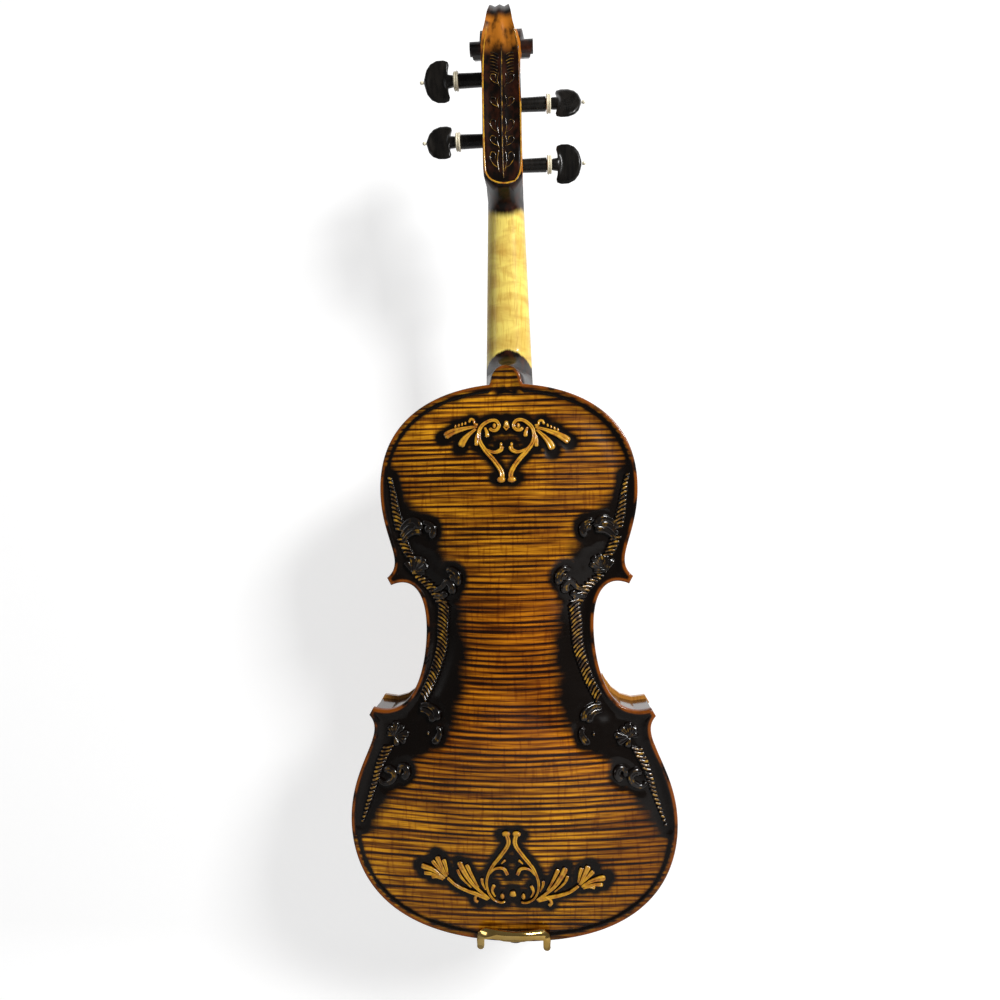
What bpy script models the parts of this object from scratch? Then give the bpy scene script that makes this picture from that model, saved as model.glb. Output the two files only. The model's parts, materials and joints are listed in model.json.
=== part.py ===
"""A full-size violin with a carved back, modelled as its separate pieces, in metres.

The violin stands upright. +X points to the bass side, +Y to the front (the strings) and +Z to the
scroll. Every size below is measured in the body's own frame: z from the bottom edge of the body,
y from the outer face of the back's edge. The empty "violin" moves that frame, so that the world
origin lies inside the neck just below the pegbox, where a hanger holds it.
"""

import math

import bmesh
import bpy
import numpy as np
from mathutils import Vector
from mathutils.bvhtree import BVHTree
from mathutils.geometry import delaunay_2d_cdt, interpolate_bezier

# Body outline
BODY_LENGTH = 0.356
LOWER_BOUT_WIDTH = 0.2086
LOWER_BOUT_HEIGHT = 0.0762
WAIST_WIDTH = 0.107
WAIST_HEIGHT = 0.2002
UPPER_BOUT_WIDTH = 0.165
UPPER_BOUT_HEIGHT = 0.2891
LOWER_CORNER_WIDTH = 0.1835
LOWER_CORNER_HEIGHT = 0.1437
UPPER_CORNER_WIDTH = 0.1576
UPPER_CORNER_HEIGHT = 0.2323
CORNER_TIP = 0.0055
BUTTON_WIDTH = 0.0195
BUTTON_HEIGHT = 0.012

# Plates
EDGE_THICKNESS = 0.0042
EDGE_ROUNDING = 0.0011
CHANNEL_DEPTH = 0.0008
CHANNEL_INSET = 0.0065
ARCH_BORDER = 0.0115
BACK_ARCH = 0.015
TOP_ARCH = 0.0155
BACK_CENTRE_THICKNESS = 0.0044
BACK_BOUT_THICKNESS = 0.0028
TOP_THICKNESS = 0.003
PLATE_GRID = 0.021

# Ribs, linings and blocks
SEAM = 0.0003
OVERHANG = 0.0025
RIB_HEIGHT = 0.030
RIB_THICKNESS = 0.0011
LINING_WIDTH = 0.002
LINING_HEIGHT = 0.007
BLOCK_WIDTH = 0.050
BLOCK_DEPTH = 0.0145
CORNER_BLOCK_REACH = 0.021
CORNER_BLOCK_DEPTH = 0.004

# Sound holes, bar and post
HOLE_UPPER_EYE = (0.0245, 0.2265)
HOLE_LOWER_EYE = (0.0605, 0.1665)
HOLE_UPPER_RADIUS = 0.0032
HOLE_LOWER_RADIUS = 0.0041
HOLE_STEM_WIDTH = 0.0062
HOLE_NECK_WIDTH = 0.0019
BAR_LENGTH = 0.270
BAR_WIDTH = 0.0055
BAR_HEIGHT = 0.011
BAR_OFFSET = 0.0165
POST_DIAMETER = 0.0062
POST_OFFSET = 0.018
POST_BELOW_BRIDGE = 0.006

# Neck
NECK_STOP = 0.130
OVERSTAND = 0.006
NECK_SLOPE = 0.115
NUT_END_WIDTH = 0.024
BOARD_LENGTH = 0.270
BOARD_END_WIDTH = 0.042
BOARD_SIDE = 0.005
BOARD_RADIUS = 0.042
NECK_DEPTH_AT_NUT = 0.012
NECK_DEPTH_AT_HEEL = 0.0128
MORTISE_DEPTH = 0.006
HEEL_LENGTH = 0.018
CHIN_RUN = 0.0105
NUT_LENGTH = 0.005
NUT_LIFT = 0.0009

# Pegbox and scroll
PEGBOX_CHIN_WIDTH = 0.0256
PEGBOX_WALL = 0.0046
PEGBOX_FLOOR = 0.0052
PEGBOX_END_ROOM = 0.0018
CHIN_BACK = 0.0015
CHIN_RADIUS = 0.0085
EYE_ABOVE_NUT = 0.0877
EYE_DEPTH = 0.005
VOLUTE_RADIUS = 0.0272
VOLUTE_RATIO = 0.43
EYE_RADIUS = 0.0044
EYE_HALF_WIDTH = 0.0204
THROAT_ANGLE = 225
FLUTE_DEPTH = 0.0013
CHEEK_HOLLOW = 0.0009

# Pegs
PEG_ABOVE_NUT = {"g": 0.0155, "e": 0.0322, "d": 0.0528, "a": 0.0684}
PEG_BELOW_PLANE = {"g": 0.0128, "e": 0.0130, "d": 0.0140, "a": 0.0161}
PEG_SIDE = {"g": 1, "d": 1, "a": -1, "e": -1}
PEG_RADIUS = 0.0043
PEG_TAPER = 1 / 60
PEG_CLEARANCE = 0.0003
COLLAR_OFFSET = 0.0284
COLLAR_WIDTH = 0.003
COLLAR_RADIUS = 0.0062
PEG_HEAD_LENGTH = 0.0188
PEG_HEAD_BREADTH = 0.0252
PEG_HEAD_THICKNESS = 0.0062
PIP_RADIUS = 0.0013

# Bridge and strings
BODY_STOP = 0.195
BRIDGE_HEIGHT = 0.033
BRIDGE_WIDTH = 0.0415
BRIDGE_FOOT_THICKNESS = 0.0044
BRIDGE_TOP_THICKNESS = 0.0016
BRIDGE_RADIUS = 0.042
BRIDGE_TILT = 0.0009
BRIDGE_STRING_LIFT = 0.0006
STRING_SPREAD_AT_BRIDGE = 0.0335
STRING_SPREAD_AT_NUT = 0.016
STRING_RADIUS = {"e": 0.00014, "a": 0.00034, "d": 0.0004, "g": 0.00041}
STRING_ORDER = ("e", "a", "d", "g")
WINDING_TURNS = 3
WINDING_GAP = 0.00045
WINDING_START = {"g": 0.0022, "e": 0.0024, "d": 0.0008, "a": 0.0006}

# Tailpiece, saddle and end button
TAILPIECE_LENGTH = 0.1015
TAILPIECE_START = 0.0095
TAILPIECE_TOP_WIDTH = 0.043
TAILPIECE_END_WIDTH = 0.021
TAILPIECE_THICKNESS = 0.0055
TAILPIECE_END_LEVEL = 0.0045
TAILPIECE_RISE = 0.0175
AFTERLENGTH = 0.055
SADDLE_WIDTH = 0.036
SADDLE_DEPTH = 0.0075
SADDLE_RISE = 0.0042
TAILGUT_RADIUS = 0.001
TAILGUT_SPREAD = 0.009
BUTTON_PIN_RADIUS = 0.0037
BUTTON_KNOB_RADIUS = 0.0071
BUTTON_GROOVE_RADIUS = 0.0047
BUTTON_LENGTH = 0.0115
BUTTON_END_RADIUS = 0.0045

# Fine tuner of the E string
TUNER_WIDTH = 0.005
TUNER_LENGTH = 0.016
TUNER_HEIGHT = 0.0042
TUNER_SCREW_RADIUS = 0.0012
TUNER_SCREW_REACH = 0.0035
TUNER_SCREW_LIFT = 0.0016
TUNER_HEAD_RADIUS = 0.0036
TUNER_HEAD_HEIGHT = 0.0035

# Chinrest
CHINREST_OFFSET = 0.050
CHINREST_HALF_WIDTH = 0.036
CHINREST_REACH = 0.062
CHINREST_LEVEL = 0.0285
CHINREST_DISH = 0.0055
CHINREST_BODY = 0.0070
CHINREST_FOOT_INNER = 0.0192
CHINREST_FOOT_OUTER = 0.0330
CHINREST_FOOT_START = 0.0022
CHINREST_FOOT_END = 0.0112
CLAMP_SPREAD = 0.042
BARREL_RADIUS = 0.0019
BARREL_BORE = 0.0014
STUD_RADIUS = 0.0010
STUD_ENGAGEMENT = 0.011
CLAMP_THICKNESS = 0.0016
CORK_THICKNESS = 0.001

# Hanger
HANGER_BELOW_NUT = 0.014

# Levels that follow from the sizes above
BACK_INSIDE = EDGE_THICKNESS
RIB_BACK = BACK_INSIDE + SEAM
RIB_FRONT = RIB_BACK + RIB_HEIGHT
TOP_INSIDE = RIB_FRONT + SEAM
TOP_OUTSIDE = TOP_INSIDE + EDGE_THICKNESS
RIB_INNER_INSET = OVERHANG + RIB_THICKNESS
BLOCK_INSET = RIB_INNER_INSET + SEAM
NUT_HEIGHT = BODY_LENGTH + NECK_STOP
BRIDGE_Z = BODY_LENGTH - BODY_STOP


def plane_level(z):
    """y of the neck's flat front face, which carries the fingerboard, at height z."""
    return TOP_OUTSIDE + OVERSTAND - (z - BODY_LENGTH) * NECK_SLOPE


HANGER_HEIGHT = NUT_HEIGHT - HANGER_BELOW_NUT
HANGER_LEVEL = plane_level(HANGER_HEIGHT) - NECK_DEPTH_AT_NUT / 2
EYE_HEIGHT = NUT_HEIGHT + EYE_ABOVE_NUT


# Scene, materials and mesh helpers
def clear_scene():
    for obj in list(bpy.data.objects):
        bpy.data.objects.remove(obj, do_unlink=True)


def make_material(name, colour, roughness, metallic=0.0):
    material = bpy.data.materials.new(name)
    material.use_nodes = True
    shader = material.node_tree.nodes["Principled BSDF"]
    shader.inputs["Base Color"].default_value = (*colour, 1.0)
    shader.inputs["Roughness"].default_value = roughness
    shader.inputs["Metallic"].default_value = metallic
    material.diffuse_color = (*colour, 1.0)
    return material


clear_scene()
FRAME = bpy.data.objects.new("violin", None)
bpy.context.scene.collection.objects.link(FRAME)
FRAME.location = (0.0, -HANGER_LEVEL, -HANGER_HEIGHT)

MATERIALS = {
    "flamed_maple": make_material("flamed_maple", (0.46, 0.20, 0.045), 0.22),
    "rib_maple": make_material("rib_maple", (0.10, 0.035, 0.012), 0.22),
    "top_spruce": make_material("top_spruce", (0.48, 0.22, 0.06), 0.28),
    "bare_spruce": make_material("bare_spruce", (0.74, 0.58, 0.36), 0.7),
    "dark_maple": make_material("dark_maple", (0.06, 0.022, 0.010), 0.2),
    "bridge_maple": make_material("bridge_maple", (0.66, 0.45, 0.24), 0.55),
    "ebony": make_material("ebony", (0.012, 0.010, 0.009), 0.35),
    "bone": make_material("bone", (0.80, 0.74, 0.55), 0.4),
    "gold": make_material("gold", (0.83, 0.58, 0.22), 0.18, 1.0),
    "steel": make_material("steel", (0.55, 0.55, 0.56), 0.25, 1.0),
    "nylon": make_material("nylon", (0.05, 0.05, 0.05), 0.5),
    "cork": make_material("cork", (0.50, 0.32, 0.17), 0.9),
}


def finish(obj, material, smooth_angle=35):
    """Parents a piece to the violin's frame, gives it its material and shades its round faces."""
    obj.parent = obj.parent or FRAME
    obj.data.materials.clear()
    obj.data.materials.append(MATERIALS[material])
    if obj.type == "MESH" and smooth_angle:
        obj.data.shade_smooth()
        obj.data.set_sharp_from_angle(angle=math.radians(smooth_angle))
    return obj


def object_from_bmesh(name, bm):
    bmesh.ops.remove_doubles(bm, verts=bm.verts, dist=1e-6)
    bmesh.ops.recalc_face_normals(bm, faces=bm.faces)
    mesh = bpy.data.meshes.new(name)
    bm.to_mesh(mesh)
    bm.free()
    obj = bpy.data.objects.new(name, mesh)
    bpy.context.scene.collection.objects.link(obj)
    obj.parent = FRAME
    return obj


def grid_strip(bm, rows):
    """Joins rows of points, each as long as the last, with quads."""
    vert_rows = [[bm.verts.new(point) for point in row] for row in rows]
    for low, high in zip(vert_rows, vert_rows[1:]):
        for i in range(len(low) - 1):
            bm.faces.new((low[i], low[i + 1], high[i + 1], high[i]))


def loft(name, rings, closed=False):
    """A solid through closed rings of points, capped at both ends unless the rings close on themselves."""
    bm = bmesh.new()
    loops = [[bm.verts.new(point) for point in ring] for ring in rings]
    pairs = list(zip(loops, loops[1:]))
    if closed:
        pairs.append((loops[-1], loops[0]))
    for low, high in pairs:
        for i in range(len(low)):
            j = (i + 1) % len(low)
            bm.faces.new((low[i], low[j], high[j], high[i]))
    if not closed:
        bm.faces.new(loops[0])
        bm.faces.new(loops[-1])
    return object_from_bmesh(name, bm)


def prism(name, outline, low, high):
    """A solid with an (x, z) outline, from y = low to y = high."""
    return loft(name, [[(x, low, z) for x, z in outline], [(x, high, z) for x, z in outline]])


def ring_points(radius, steps, phase=0.0):
    angles = [2 * math.pi * (i + phase) / steps for i in range(steps)]
    return [(radius * math.cos(a), radius * math.sin(a)) for a in angles]


def turned(name, profile, steps, direction="X"):
    """A solid turned about an axis through its origin, from (distance along, radius) pairs."""
    rings = []
    for along, radius in profile:
        ring = ring_points(radius, steps, 0.5)
        if direction == "X":
            rings.append([(along, a, b) for a, b in ring])
        elif direction == "Y":
            rings.append([(a, along, b) for a, b in ring])
        else:
            rings.append([(a, b, along) for a, b in ring])
    return loft(name, rings)


def turned_ring(name, profile, steps, direction="X"):
    """A ring turned about its axis, from a closed profile of (distance along, radius) pairs."""
    rings = []
    for along, radius in profile:
        ring = ring_points(radius, steps, 0.5)
        if direction == "X":
            rings.append([(along, a, b) for a, b in ring])
        else:
            rings.append([(a, along, b) for a, b in ring])
    return loft(name, rings, closed=True)


def boolean(obj, cutter, operation="DIFFERENCE"):
    """Cuts or joins with the exact solver. The cutter stays in the scene as a hidden guide."""
    cutter.hide_render = True
    cutter.display_type = "WIRE"
    modifier = obj.modifiers.new(cutter.name, "BOOLEAN")
    modifier.operation = operation
    modifier.solver = "EXACT"
    modifier.object = cutter
    return obj


def smooth_step(value):
    t = min(max(value, 0.0), 1.0)
    return t * t * (3 - 2 * t)


def blend(low, high, share):
    return low + (high - low) * share


def through(stations, value):
    """Reads a smooth curve through (position, size) stations, with level ends."""
    places = [place for place, _ in stations]
    sizes = [size for _, size in stations]
    if value <= places[0]:
        return sizes[0]
    if value >= places[-1]:
        return sizes[-1]
    i = next(k for k in range(len(places) - 1) if places[k] <= value <= places[k + 1])
    before = max(i - 1, 0)
    after = min(i + 2, len(places) - 1)
    span = places[i + 1] - places[i]
    slope_low = (sizes[i + 1] - sizes[before]) / (places[i + 1] - places[before]) * span
    slope_high = (sizes[after] - sizes[i]) / (places[after] - places[i]) * span
    t = (value - places[i]) / span
    bend_low = 3 * t * t - 2 * t * t * t
    rise = sizes[i + 1] - sizes[i]
    return sizes[i] + bend_low * rise + (t - 2 * t * t + t**3) * slope_low + (t**3 - t * t) * slope_high


# Outline curves
def direction(degrees):
    return Vector((math.cos(math.radians(degrees)), math.sin(math.radians(degrees))))


def curve(start, start_pull, end_pull, end, steps):
    points = interpolate_bezier(start, start + start_pull, end + end_pull, end, steps + 1)
    return [Vector((p[0], p[1])) for p in points]


def outline_bouts():
    """The right half of the body's outline as its lower, middle and upper bout, bottom to top."""
    bottom = Vector((0.0, 0.0))
    top = Vector((0.0, BODY_LENGTH))
    lower = Vector((LOWER_BOUT_WIDTH / 2, LOWER_BOUT_HEIGHT))
    waist = Vector((WAIST_WIDTH / 2, WAIST_HEIGHT))
    upper = Vector((UPPER_BOUT_WIDTH / 2, UPPER_BOUT_HEIGHT))
    lower_tip = Vector((LOWER_CORNER_WIDTH / 2, LOWER_CORNER_HEIGHT))
    lower_tip_waist = lower_tip + CORNER_TIP * direction(120)
    upper_tip = Vector((UPPER_CORNER_WIDTH / 2, UPPER_CORNER_HEIGHT))
    upper_tip_waist = upper_tip - CORNER_TIP * direction(62)
    rise = lower_tip.y - lower.y
    hollow_low = waist.y - lower_tip_waist.y
    hollow_high = upper_tip_waist.y - waist.y
    climb = upper.y - upper_tip.y
    crown = top.y - upper.y
    side = Vector((1.0, 0.0))
    up = Vector((0.0, 1.0))
    lower_bout = curve(bottom, 0.845 * lower.x * side, -0.387 * lower.y * up, lower, 10)
    lower_bout += curve(lower, 0.54 * rise * up, -0.26 * rise * direction(47), lower_tip, 7)[1:]
    middle_bout = curve(
        lower_tip_waist, 0.605 * hollow_low * direction(197), -0.355 * hollow_low * up, waist, 9
    )
    middle_bout += curve(waist, 0.86 * hollow_high * up, 0.545 * hollow_high * direction(156), upper_tip_waist, 6)[1:]
    upper_bout = curve(upper_tip, 0.30 * climb * direction(141), -0.558 * climb * up, upper, 7)
    upper_bout += curve(upper, 0.787 * crown * up, 0.423 * upper.x * side, top, 9)[1:]
    return lower_bout, middle_bout, upper_bout


def inset_curve(points, inset):
    """The curve moved inward, to the left of its run, by the inset."""
    moved = []
    for i, point in enumerate(points):
        along = points[min(i + 1, len(points) - 1)] - points[max(i - 1, 0)]
        if i == 0 and abs(point.x) < 1e-9:
            along = Vector((1.0, 0.0))
        if i == len(points) - 1 and abs(point.x) < 1e-9:
            along = Vector((-1.0, 0.0))
        along.normalize()
        moved.append(point + inset * Vector((-along.y, along.x)))
    return moved


def crossing(a, b, c, d):
    """Where the segment a-b meets the segment c-d, or None."""
    run = b - a
    other = d - c
    cross = run.x * other.y - run.y * other.x
    if abs(cross) < 1e-18:
        return None
    offset = c - a
    t = (offset.x * other.y - offset.y * other.x) / cross
    u = (offset.x * run.y - offset.y * run.x) / cross
    if -1e-9 <= t <= 1 + 1e-9 and -1e-9 <= u <= 1 + 1e-9:
        return a + t * run
    return None


def mitre(first, second):
    """Trims the end of one curve and the start of the next where they cross, and returns both."""
    reach = 0.008
    head = first + [first[-1] + reach * (first[-1] - first[-2]).normalized()]
    tail = [second[0] + reach * (second[0] - second[1]).normalized()] + second
    for i in range(len(head) - 1, 0, -1):
        for j in range(len(tail) - 1):
            meeting = crossing(head[i - 1], head[i], tail[j], tail[j + 1])
            if meeting is not None:
                return head[:i] + [meeting], [meeting] + tail[j + 1 :]
    return first, second


def inset_bouts(inset):
    """The three bouts moved inward and trimmed to each other at the corners."""
    lower, middle, upper = (inset_curve(bout, inset) for bout in BOUTS)
    lower, middle = mitre(lower, middle)
    middle, upper = mitre(middle, upper)
    return lower, middle, upper


def part_of_curve(points, start, end):
    """The stretch of a curve between two lengths along it. A negative length counts from its end."""
    lengths = [0.0]
    for a, b in zip(points, points[1:]):
        lengths.append(lengths[-1] + (b - a).length)
    total = lengths[-1]
    start = start + total if start < 0 else start
    end = end + total if end <= 0 else end

    def at(length):
        for i in range(len(points) - 1):
            if lengths[i] <= length <= lengths[i + 1]:
                share = (length - lengths[i]) / (lengths[i + 1] - lengths[i])
                return points[i].lerp(points[i + 1], share)
        return points[-1].copy()

    inner = [p for p, s in zip(points, lengths) if start + 2e-4 < s < end - 2e-4]
    return [at(start)] + inner + [at(end)]


def mirrored(points):
    return [Vector((-p.x, p.y)) for p in points]


BOUTS = outline_bouts()


def button_outline():
    """The right half of the back's button, from the upper edge to its apex."""
    radius = BUTTON_WIDTH / 2
    centre = BODY_LENGTH + BUTTON_HEIGHT - radius
    arc = [Vector((radius * math.cos(a), centre + radius * math.sin(a))) for a in np.linspace(0, math.pi / 2, 7)]
    return arc


def plate_outline(with_button):
    """The whole outline of a plate as a closed loop of points, anticlockwise from the bottom."""
    right = BOUTS[0] + BOUTS[1] + BOUTS[2]
    if with_button:
        shoulder = [p for p in right if p.y < UPPER_BOUT_HEIGHT or p.x > BUTTON_WIDTH / 2 + 0.001]
        right = shoulder + button_outline()
    left = mirrored(right)[1:-1]
    return right + left[::-1]


# Plates
def distances_to(loop, points):
    """The least distance from each point to a closed loop."""
    start = np.array([tuple(p) for p in loop])
    run = np.roll(start, -1, axis=0) - start
    offset = points[:, None] - start[None]
    share = np.clip((offset * run).sum(2) / (run * run).sum(1), 0, 1)
    return np.linalg.norm(offset - share[..., None] * run, axis=2).min(1)


def inside(loop, points):
    """Whether each point lies inside a closed loop."""
    start = np.array([tuple(p) for p in loop])
    end = np.roll(start, -1, axis=0)
    x = points[:, 0][:, None]
    z = points[:, 1][:, None]
    spans = (start[:, 1] > z) != (end[:, 1] > z)
    rise = np.where(np.abs(end[:, 1] - start[:, 1]) < 1e-12, 1e-12, end[:, 1] - start[:, 1])
    at = start[:, 0] + (z - start[:, 1]) * (end[:, 0] - start[:, 0]) / rise
    return (spans & (x < at)).sum(1) % 2 == 1


def triangulated(loop, rings, grid):
    """Triangles over a loop, with points on inner rings at given distances and on a grid."""
    half = np.array([tuple(p) for p in loop])
    inner = []
    for distance, stride in rings:
        run = np.roll(half, -1, axis=0) - np.roll(half, 1, axis=0)
        run /= np.linalg.norm(run, axis=1)[:, None]
        ring = (half + distance * np.stack([-run[:, 1], run[:, 0]], 1))[::stride]
        kept = inside(loop, ring) & (distances_to(loop, ring) > 0.97 * distance)
        inner.append(ring[kept])
    farthest = rings[-1][0]
    low = half.min(0)
    high = half.max(0)
    columns = int((high[0] - low[0]) / grid) + 1
    rows = int((high[1] - low[1]) / grid) + 1
    xs = (np.arange(columns) - (columns - 1) / 2) * grid + (low[0] + high[0]) / 2
    zs = low[1] + (np.arange(rows) + 0.5) * grid
    field = np.array([(x, z) for z in zs for x in xs])
    kept = inside(loop, field) & (distances_to(loop, field) > farthest + 0.4 * grid)
    points = np.concatenate([half, *inner, field[kept]])
    edges = [(i, (i + 1) % len(half)) for i in range(len(half))]
    found = delaunay_2d_cdt([Vector(p) for p in points], edges, [], 0, 1e-7)
    verts = np.array([tuple(v) for v in found[0]])
    faces = np.array([f for f in found[2] if len(f) == 3])
    centres = verts[faces].mean(1)
    return verts, faces[inside(loop, centres)]


def arched_solid(name, loop, rings, grid, surfaces):
    """A solid over a loop between two surfaces, each a function from points to y."""
    verts, faces = triangulated(loop, rings, grid)
    levels = surfaces(verts)
    bm = bmesh.new()
    layers = [[bm.verts.new((x, y, z)) for (x, z), y in zip(verts, level)] for level in levels]
    used = set()
    for a, b, c in faces:
        bm.faces.new((layers[0][a], layers[0][b], layers[0][c]))
        bm.faces.new((layers[1][a], layers[1][c], layers[1][b]))
        for edge in ((a, b), (b, c), (c, a)):
            used.symmetric_difference_update({tuple(sorted(edge))})
    for a, b in used:
        bm.faces.new((layers[0][a], layers[0][b], layers[1][b], layers[1][a]))
    bmesh.ops.delete(bm, geom=[v for v in bm.verts if not v.link_faces], context="VERTS")
    PLATE_FACETS[name] = BVHTree.FromBMesh(bm)
    return object_from_bmesh(name, bm)


PLATE_FACETS = {}


def facet_level(plate, x, z, start, towards):
    """y of a plate's facets at a point, met from y = start, looking along -Y or +Y."""
    hit = PLATE_FACETS[plate].ray_cast(Vector((x, start, z)), Vector((0.0, towards, 0.0)))
    return hit[0].y


def top_outer_level(x, z):
    return facet_level("top_plate", x, z, TOP_OUTSIDE + 2 * TOP_ARCH, -1.0)


def top_inner_level(x, z):
    return facet_level("top_plate", x, z, BUTTON_LEVEL, 1.0)


def back_inner_level(x, z):
    return facet_level("back_plate", x, z, BUTTON_LEVEL, -1.0)


def arch_half_width(z):
    """Half of the arched field's width at height z. It passes the corners in one sweep."""
    bottom = CHANNEL_INSET
    top = BODY_LENGTH - CHANNEL_INSET
    if z <= bottom or z >= top:
        return 1e-4
    lower = LOWER_BOUT_WIDTH / 2 - CHANNEL_INSET
    waist = WAIST_WIDTH / 2 - CHANNEL_INSET
    upper = UPPER_BOUT_WIDTH / 2 - CHANNEL_INSET
    if z < LOWER_BOUT_HEIGHT:
        share = (LOWER_BOUT_HEIGHT - z) / (LOWER_BOUT_HEIGHT - bottom)
        return lower * (1 - share**2.3) ** (1 / 2.3)
    if z < WAIST_HEIGHT:
        return blend(lower, waist, smooth_step((z - LOWER_BOUT_HEIGHT) / (WAIST_HEIGHT - LOWER_BOUT_HEIGHT)))
    if z < UPPER_BOUT_HEIGHT:
        return blend(waist, upper, smooth_step((z - WAIST_HEIGHT) / (UPPER_BOUT_HEIGHT - WAIST_HEIGHT)))
    share = (z - UPPER_BOUT_HEIGHT) / (top - UPPER_BOUT_HEIGHT)
    return upper * (1 - share**2.3) ** (1 / 2.3)


def arch_share(x, z):
    """The arch's height at a point, as a share of its full height."""
    middle = BODY_LENGTH / 2
    along = abs(z - middle) / (middle - CHANNEL_INSET)
    across = abs(x) / arch_half_width(z)
    if along >= 1 or across >= 1:
        return 0.0
    return (1 - along**3.5) ** 1.5 * (1 - across**2) ** 1.5


def edge_form(distance):
    """How far the outer face lies below the edge's level: the rounded edge and the channel."""
    if distance < EDGE_ROUNDING:
        return 0.0008 * (1 - distance / EDGE_ROUNDING)
    start = 0.45 * CHANNEL_INSET
    if distance < CHANNEL_INSET:
        return CHANNEL_DEPTH * smooth_step((distance - start) / (CHANNEL_INSET - start))
    return CHANNEL_DEPTH * (1 - smooth_step((distance - CHANNEL_INSET) / (2 * CHANNEL_INSET)))


def outer_rise(x, z, distance, arch):
    return arch * arch_share(x, z) - edge_form(distance)


def back_thickness(x, z):
    spread = (x * x + (z - 0.52 * BODY_LENGTH) ** 2) / (0.17 * BODY_LENGTH) ** 2
    return BACK_BOUT_THICKNESS + (BACK_CENTRE_THICKNESS - BACK_BOUT_THICKNESS) * math.exp(-spread)


def back_surfaces(points):
    distances = distances_to(plate_outline(True), points)
    outer = np.array([-outer_rise(x, z, d, BACK_ARCH) for (x, z), d in zip(points, distances)])
    inner = np.full(len(points), BACK_INSIDE)
    for i, (x, z) in enumerate(points):
        if distances[i] > 0.8 * ARCH_BORDER and z < BODY_LENGTH - ARCH_BORDER:
            inner[i] = min(BACK_INSIDE, outer[i] + back_thickness(x, z))
    return outer, inner


def top_surfaces(points):
    distances = distances_to(plate_outline(False), points)
    rise = np.array([outer_rise(x, z, d, TOP_ARCH) for (x, z), d in zip(points, distances)])
    outer = TOP_OUTSIDE + rise
    inner = np.where(distances > 0.8 * ARCH_BORDER, np.maximum(TOP_INSIDE, outer - TOP_THICKNESS), TOP_INSIDE)
    return outer, inner


def top_level(x, z):
    """y of the top's outer face over the arched field."""
    return TOP_OUTSIDE + TOP_ARCH * arch_share(x, z)


def hole_outline(side):
    """One sound hole's outline: two round eyes joined by a curved stem that narrows at both ends."""
    upper = Vector(HOLE_UPPER_EYE)
    lower = Vector(HOLE_LOWER_EYE)
    upper_exit = direction(62)
    lower_exit = direction(242)
    start = upper + HOLE_UPPER_RADIUS * upper_exit
    end = lower + HOLE_LOWER_RADIUS * lower_exit
    middle = (upper + lower) / 2
    lean = direction(-72)
    spine = curve(start, 0.013 * direction(42), -0.021 * lean, middle, 9)
    spine += curve(middle, 0.021 * lean, 0.016 * direction(222), end, 9)[1:]
    count = len(spine)
    edges = ([], [])
    for i, point in enumerate(spine):
        along = (spine[min(i + 1, count - 1)] - spine[max(i - 1, 0)]).normalized()
        share = math.sin(math.pi * i / (count - 1)) if 0 < i < count - 1 else 0.0
        half = blend(HOLE_NECK_WIDTH, HOLE_STEM_WIDTH, share) / 2
        across = Vector((-along.y, along.x))
        edges[0].append(point + half * across)
        edges[1].append(point - half * across)

    def eye(centre, radius, exit_angle, steps):
        opening = math.degrees(math.asin(HOLE_NECK_WIDTH / 2 / radius))
        angles = np.linspace(exit_angle + opening, exit_angle + 360 - opening, steps)
        return [centre + radius * direction(a) for a in angles[1:-1]]

    loop = edges[0] + eye(lower, HOLE_LOWER_RADIUS, 242, 14)[::-1]
    loop += edges[1][::-1] + eye(upper, HOLE_UPPER_RADIUS, 62, 14)[::-1]
    return [Vector((side * p.x, p.y)) for p in loop]


def make_plates():
    rings = ((EDGE_ROUNDING, 1), (CHANNEL_INSET, 1), (ARCH_BORDER, 2))
    back = arched_solid("back_plate", plate_outline(True), rings, PLATE_GRID, back_surfaces)
    finish(back, "flamed_maple", 40)
    top = arched_solid("top_plate", plate_outline(False), rings, PLATE_GRID, top_surfaces)
    for side, label in ((-1, "treble"), (1, "bass")):
        hole = prism(f"cut_sound_hole_{label}", hole_outline(side), RIB_BACK, TOP_OUTSIDE + 2 * TOP_ARCH)
        boolean(top, hole)
    notch_half = SADDLE_WIDTH / 2 + SEAM
    notch = [(-notch_half, -0.01), (notch_half, -0.01)]
    notch += [(notch_half, SADDLE_DEPTH + SEAM), (-notch_half, SADDLE_DEPTH + SEAM)]
    boolean(top, prism("cut_saddle_seat", notch, RIB_FRONT - 0.002, TOP_OUTSIDE + TOP_ARCH))
    boolean(top, HEEL_CUTTER)
    finish(top, "top_spruce", 40)


# Ribs, blocks and linings
def make_rib(name, outer, inner):
    rib = prism(name, list(outer) + list(inner)[::-1], RIB_BACK, RIB_FRONT)
    return finish(rib, "rib_maple")


def make_ribs():
    outer = inset_bouts(OVERHANG)
    inner = inset_bouts(RIB_INNER_INSET)
    back_off = 2 * SEAM
    lower = part_of_curve(outer[0], 0, -back_off), part_of_curve(inner[0], 0, -back_off)
    right, left = lower, tuple(mirrored(c)[1:][::-1] for c in lower)
    rib = make_rib("lower_rib", left[0] + right[0], left[1] + right[1])
    pin = turned("cut_button_hole_rib", [(-0.01, BUTTON_PIN_RADIUS + SEAM), (0.03, BUTTON_PIN_RADIUS + SEAM)], 20, "Z")
    pin.location = (0.0, BUTTON_LEVEL, 0.0)
    boolean(rib, pin)
    for side, label in ((-1, "left"), (1, "right")):
        middle = [part_of_curve(c, back_off, -back_off) for c in (outer[1], inner[1])]
        upper = [part_of_curve(c, back_off, 0) for c in (outer[2], inner[2])]
        if side < 0:
            middle = [mirrored(c) for c in middle]
            upper = [mirrored(c) for c in upper]
        make_rib(f"rib_c_{label}", *middle)
        boolean(make_rib(f"rib_upper_{label}", *upper), HEEL_CUTTER)


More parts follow.
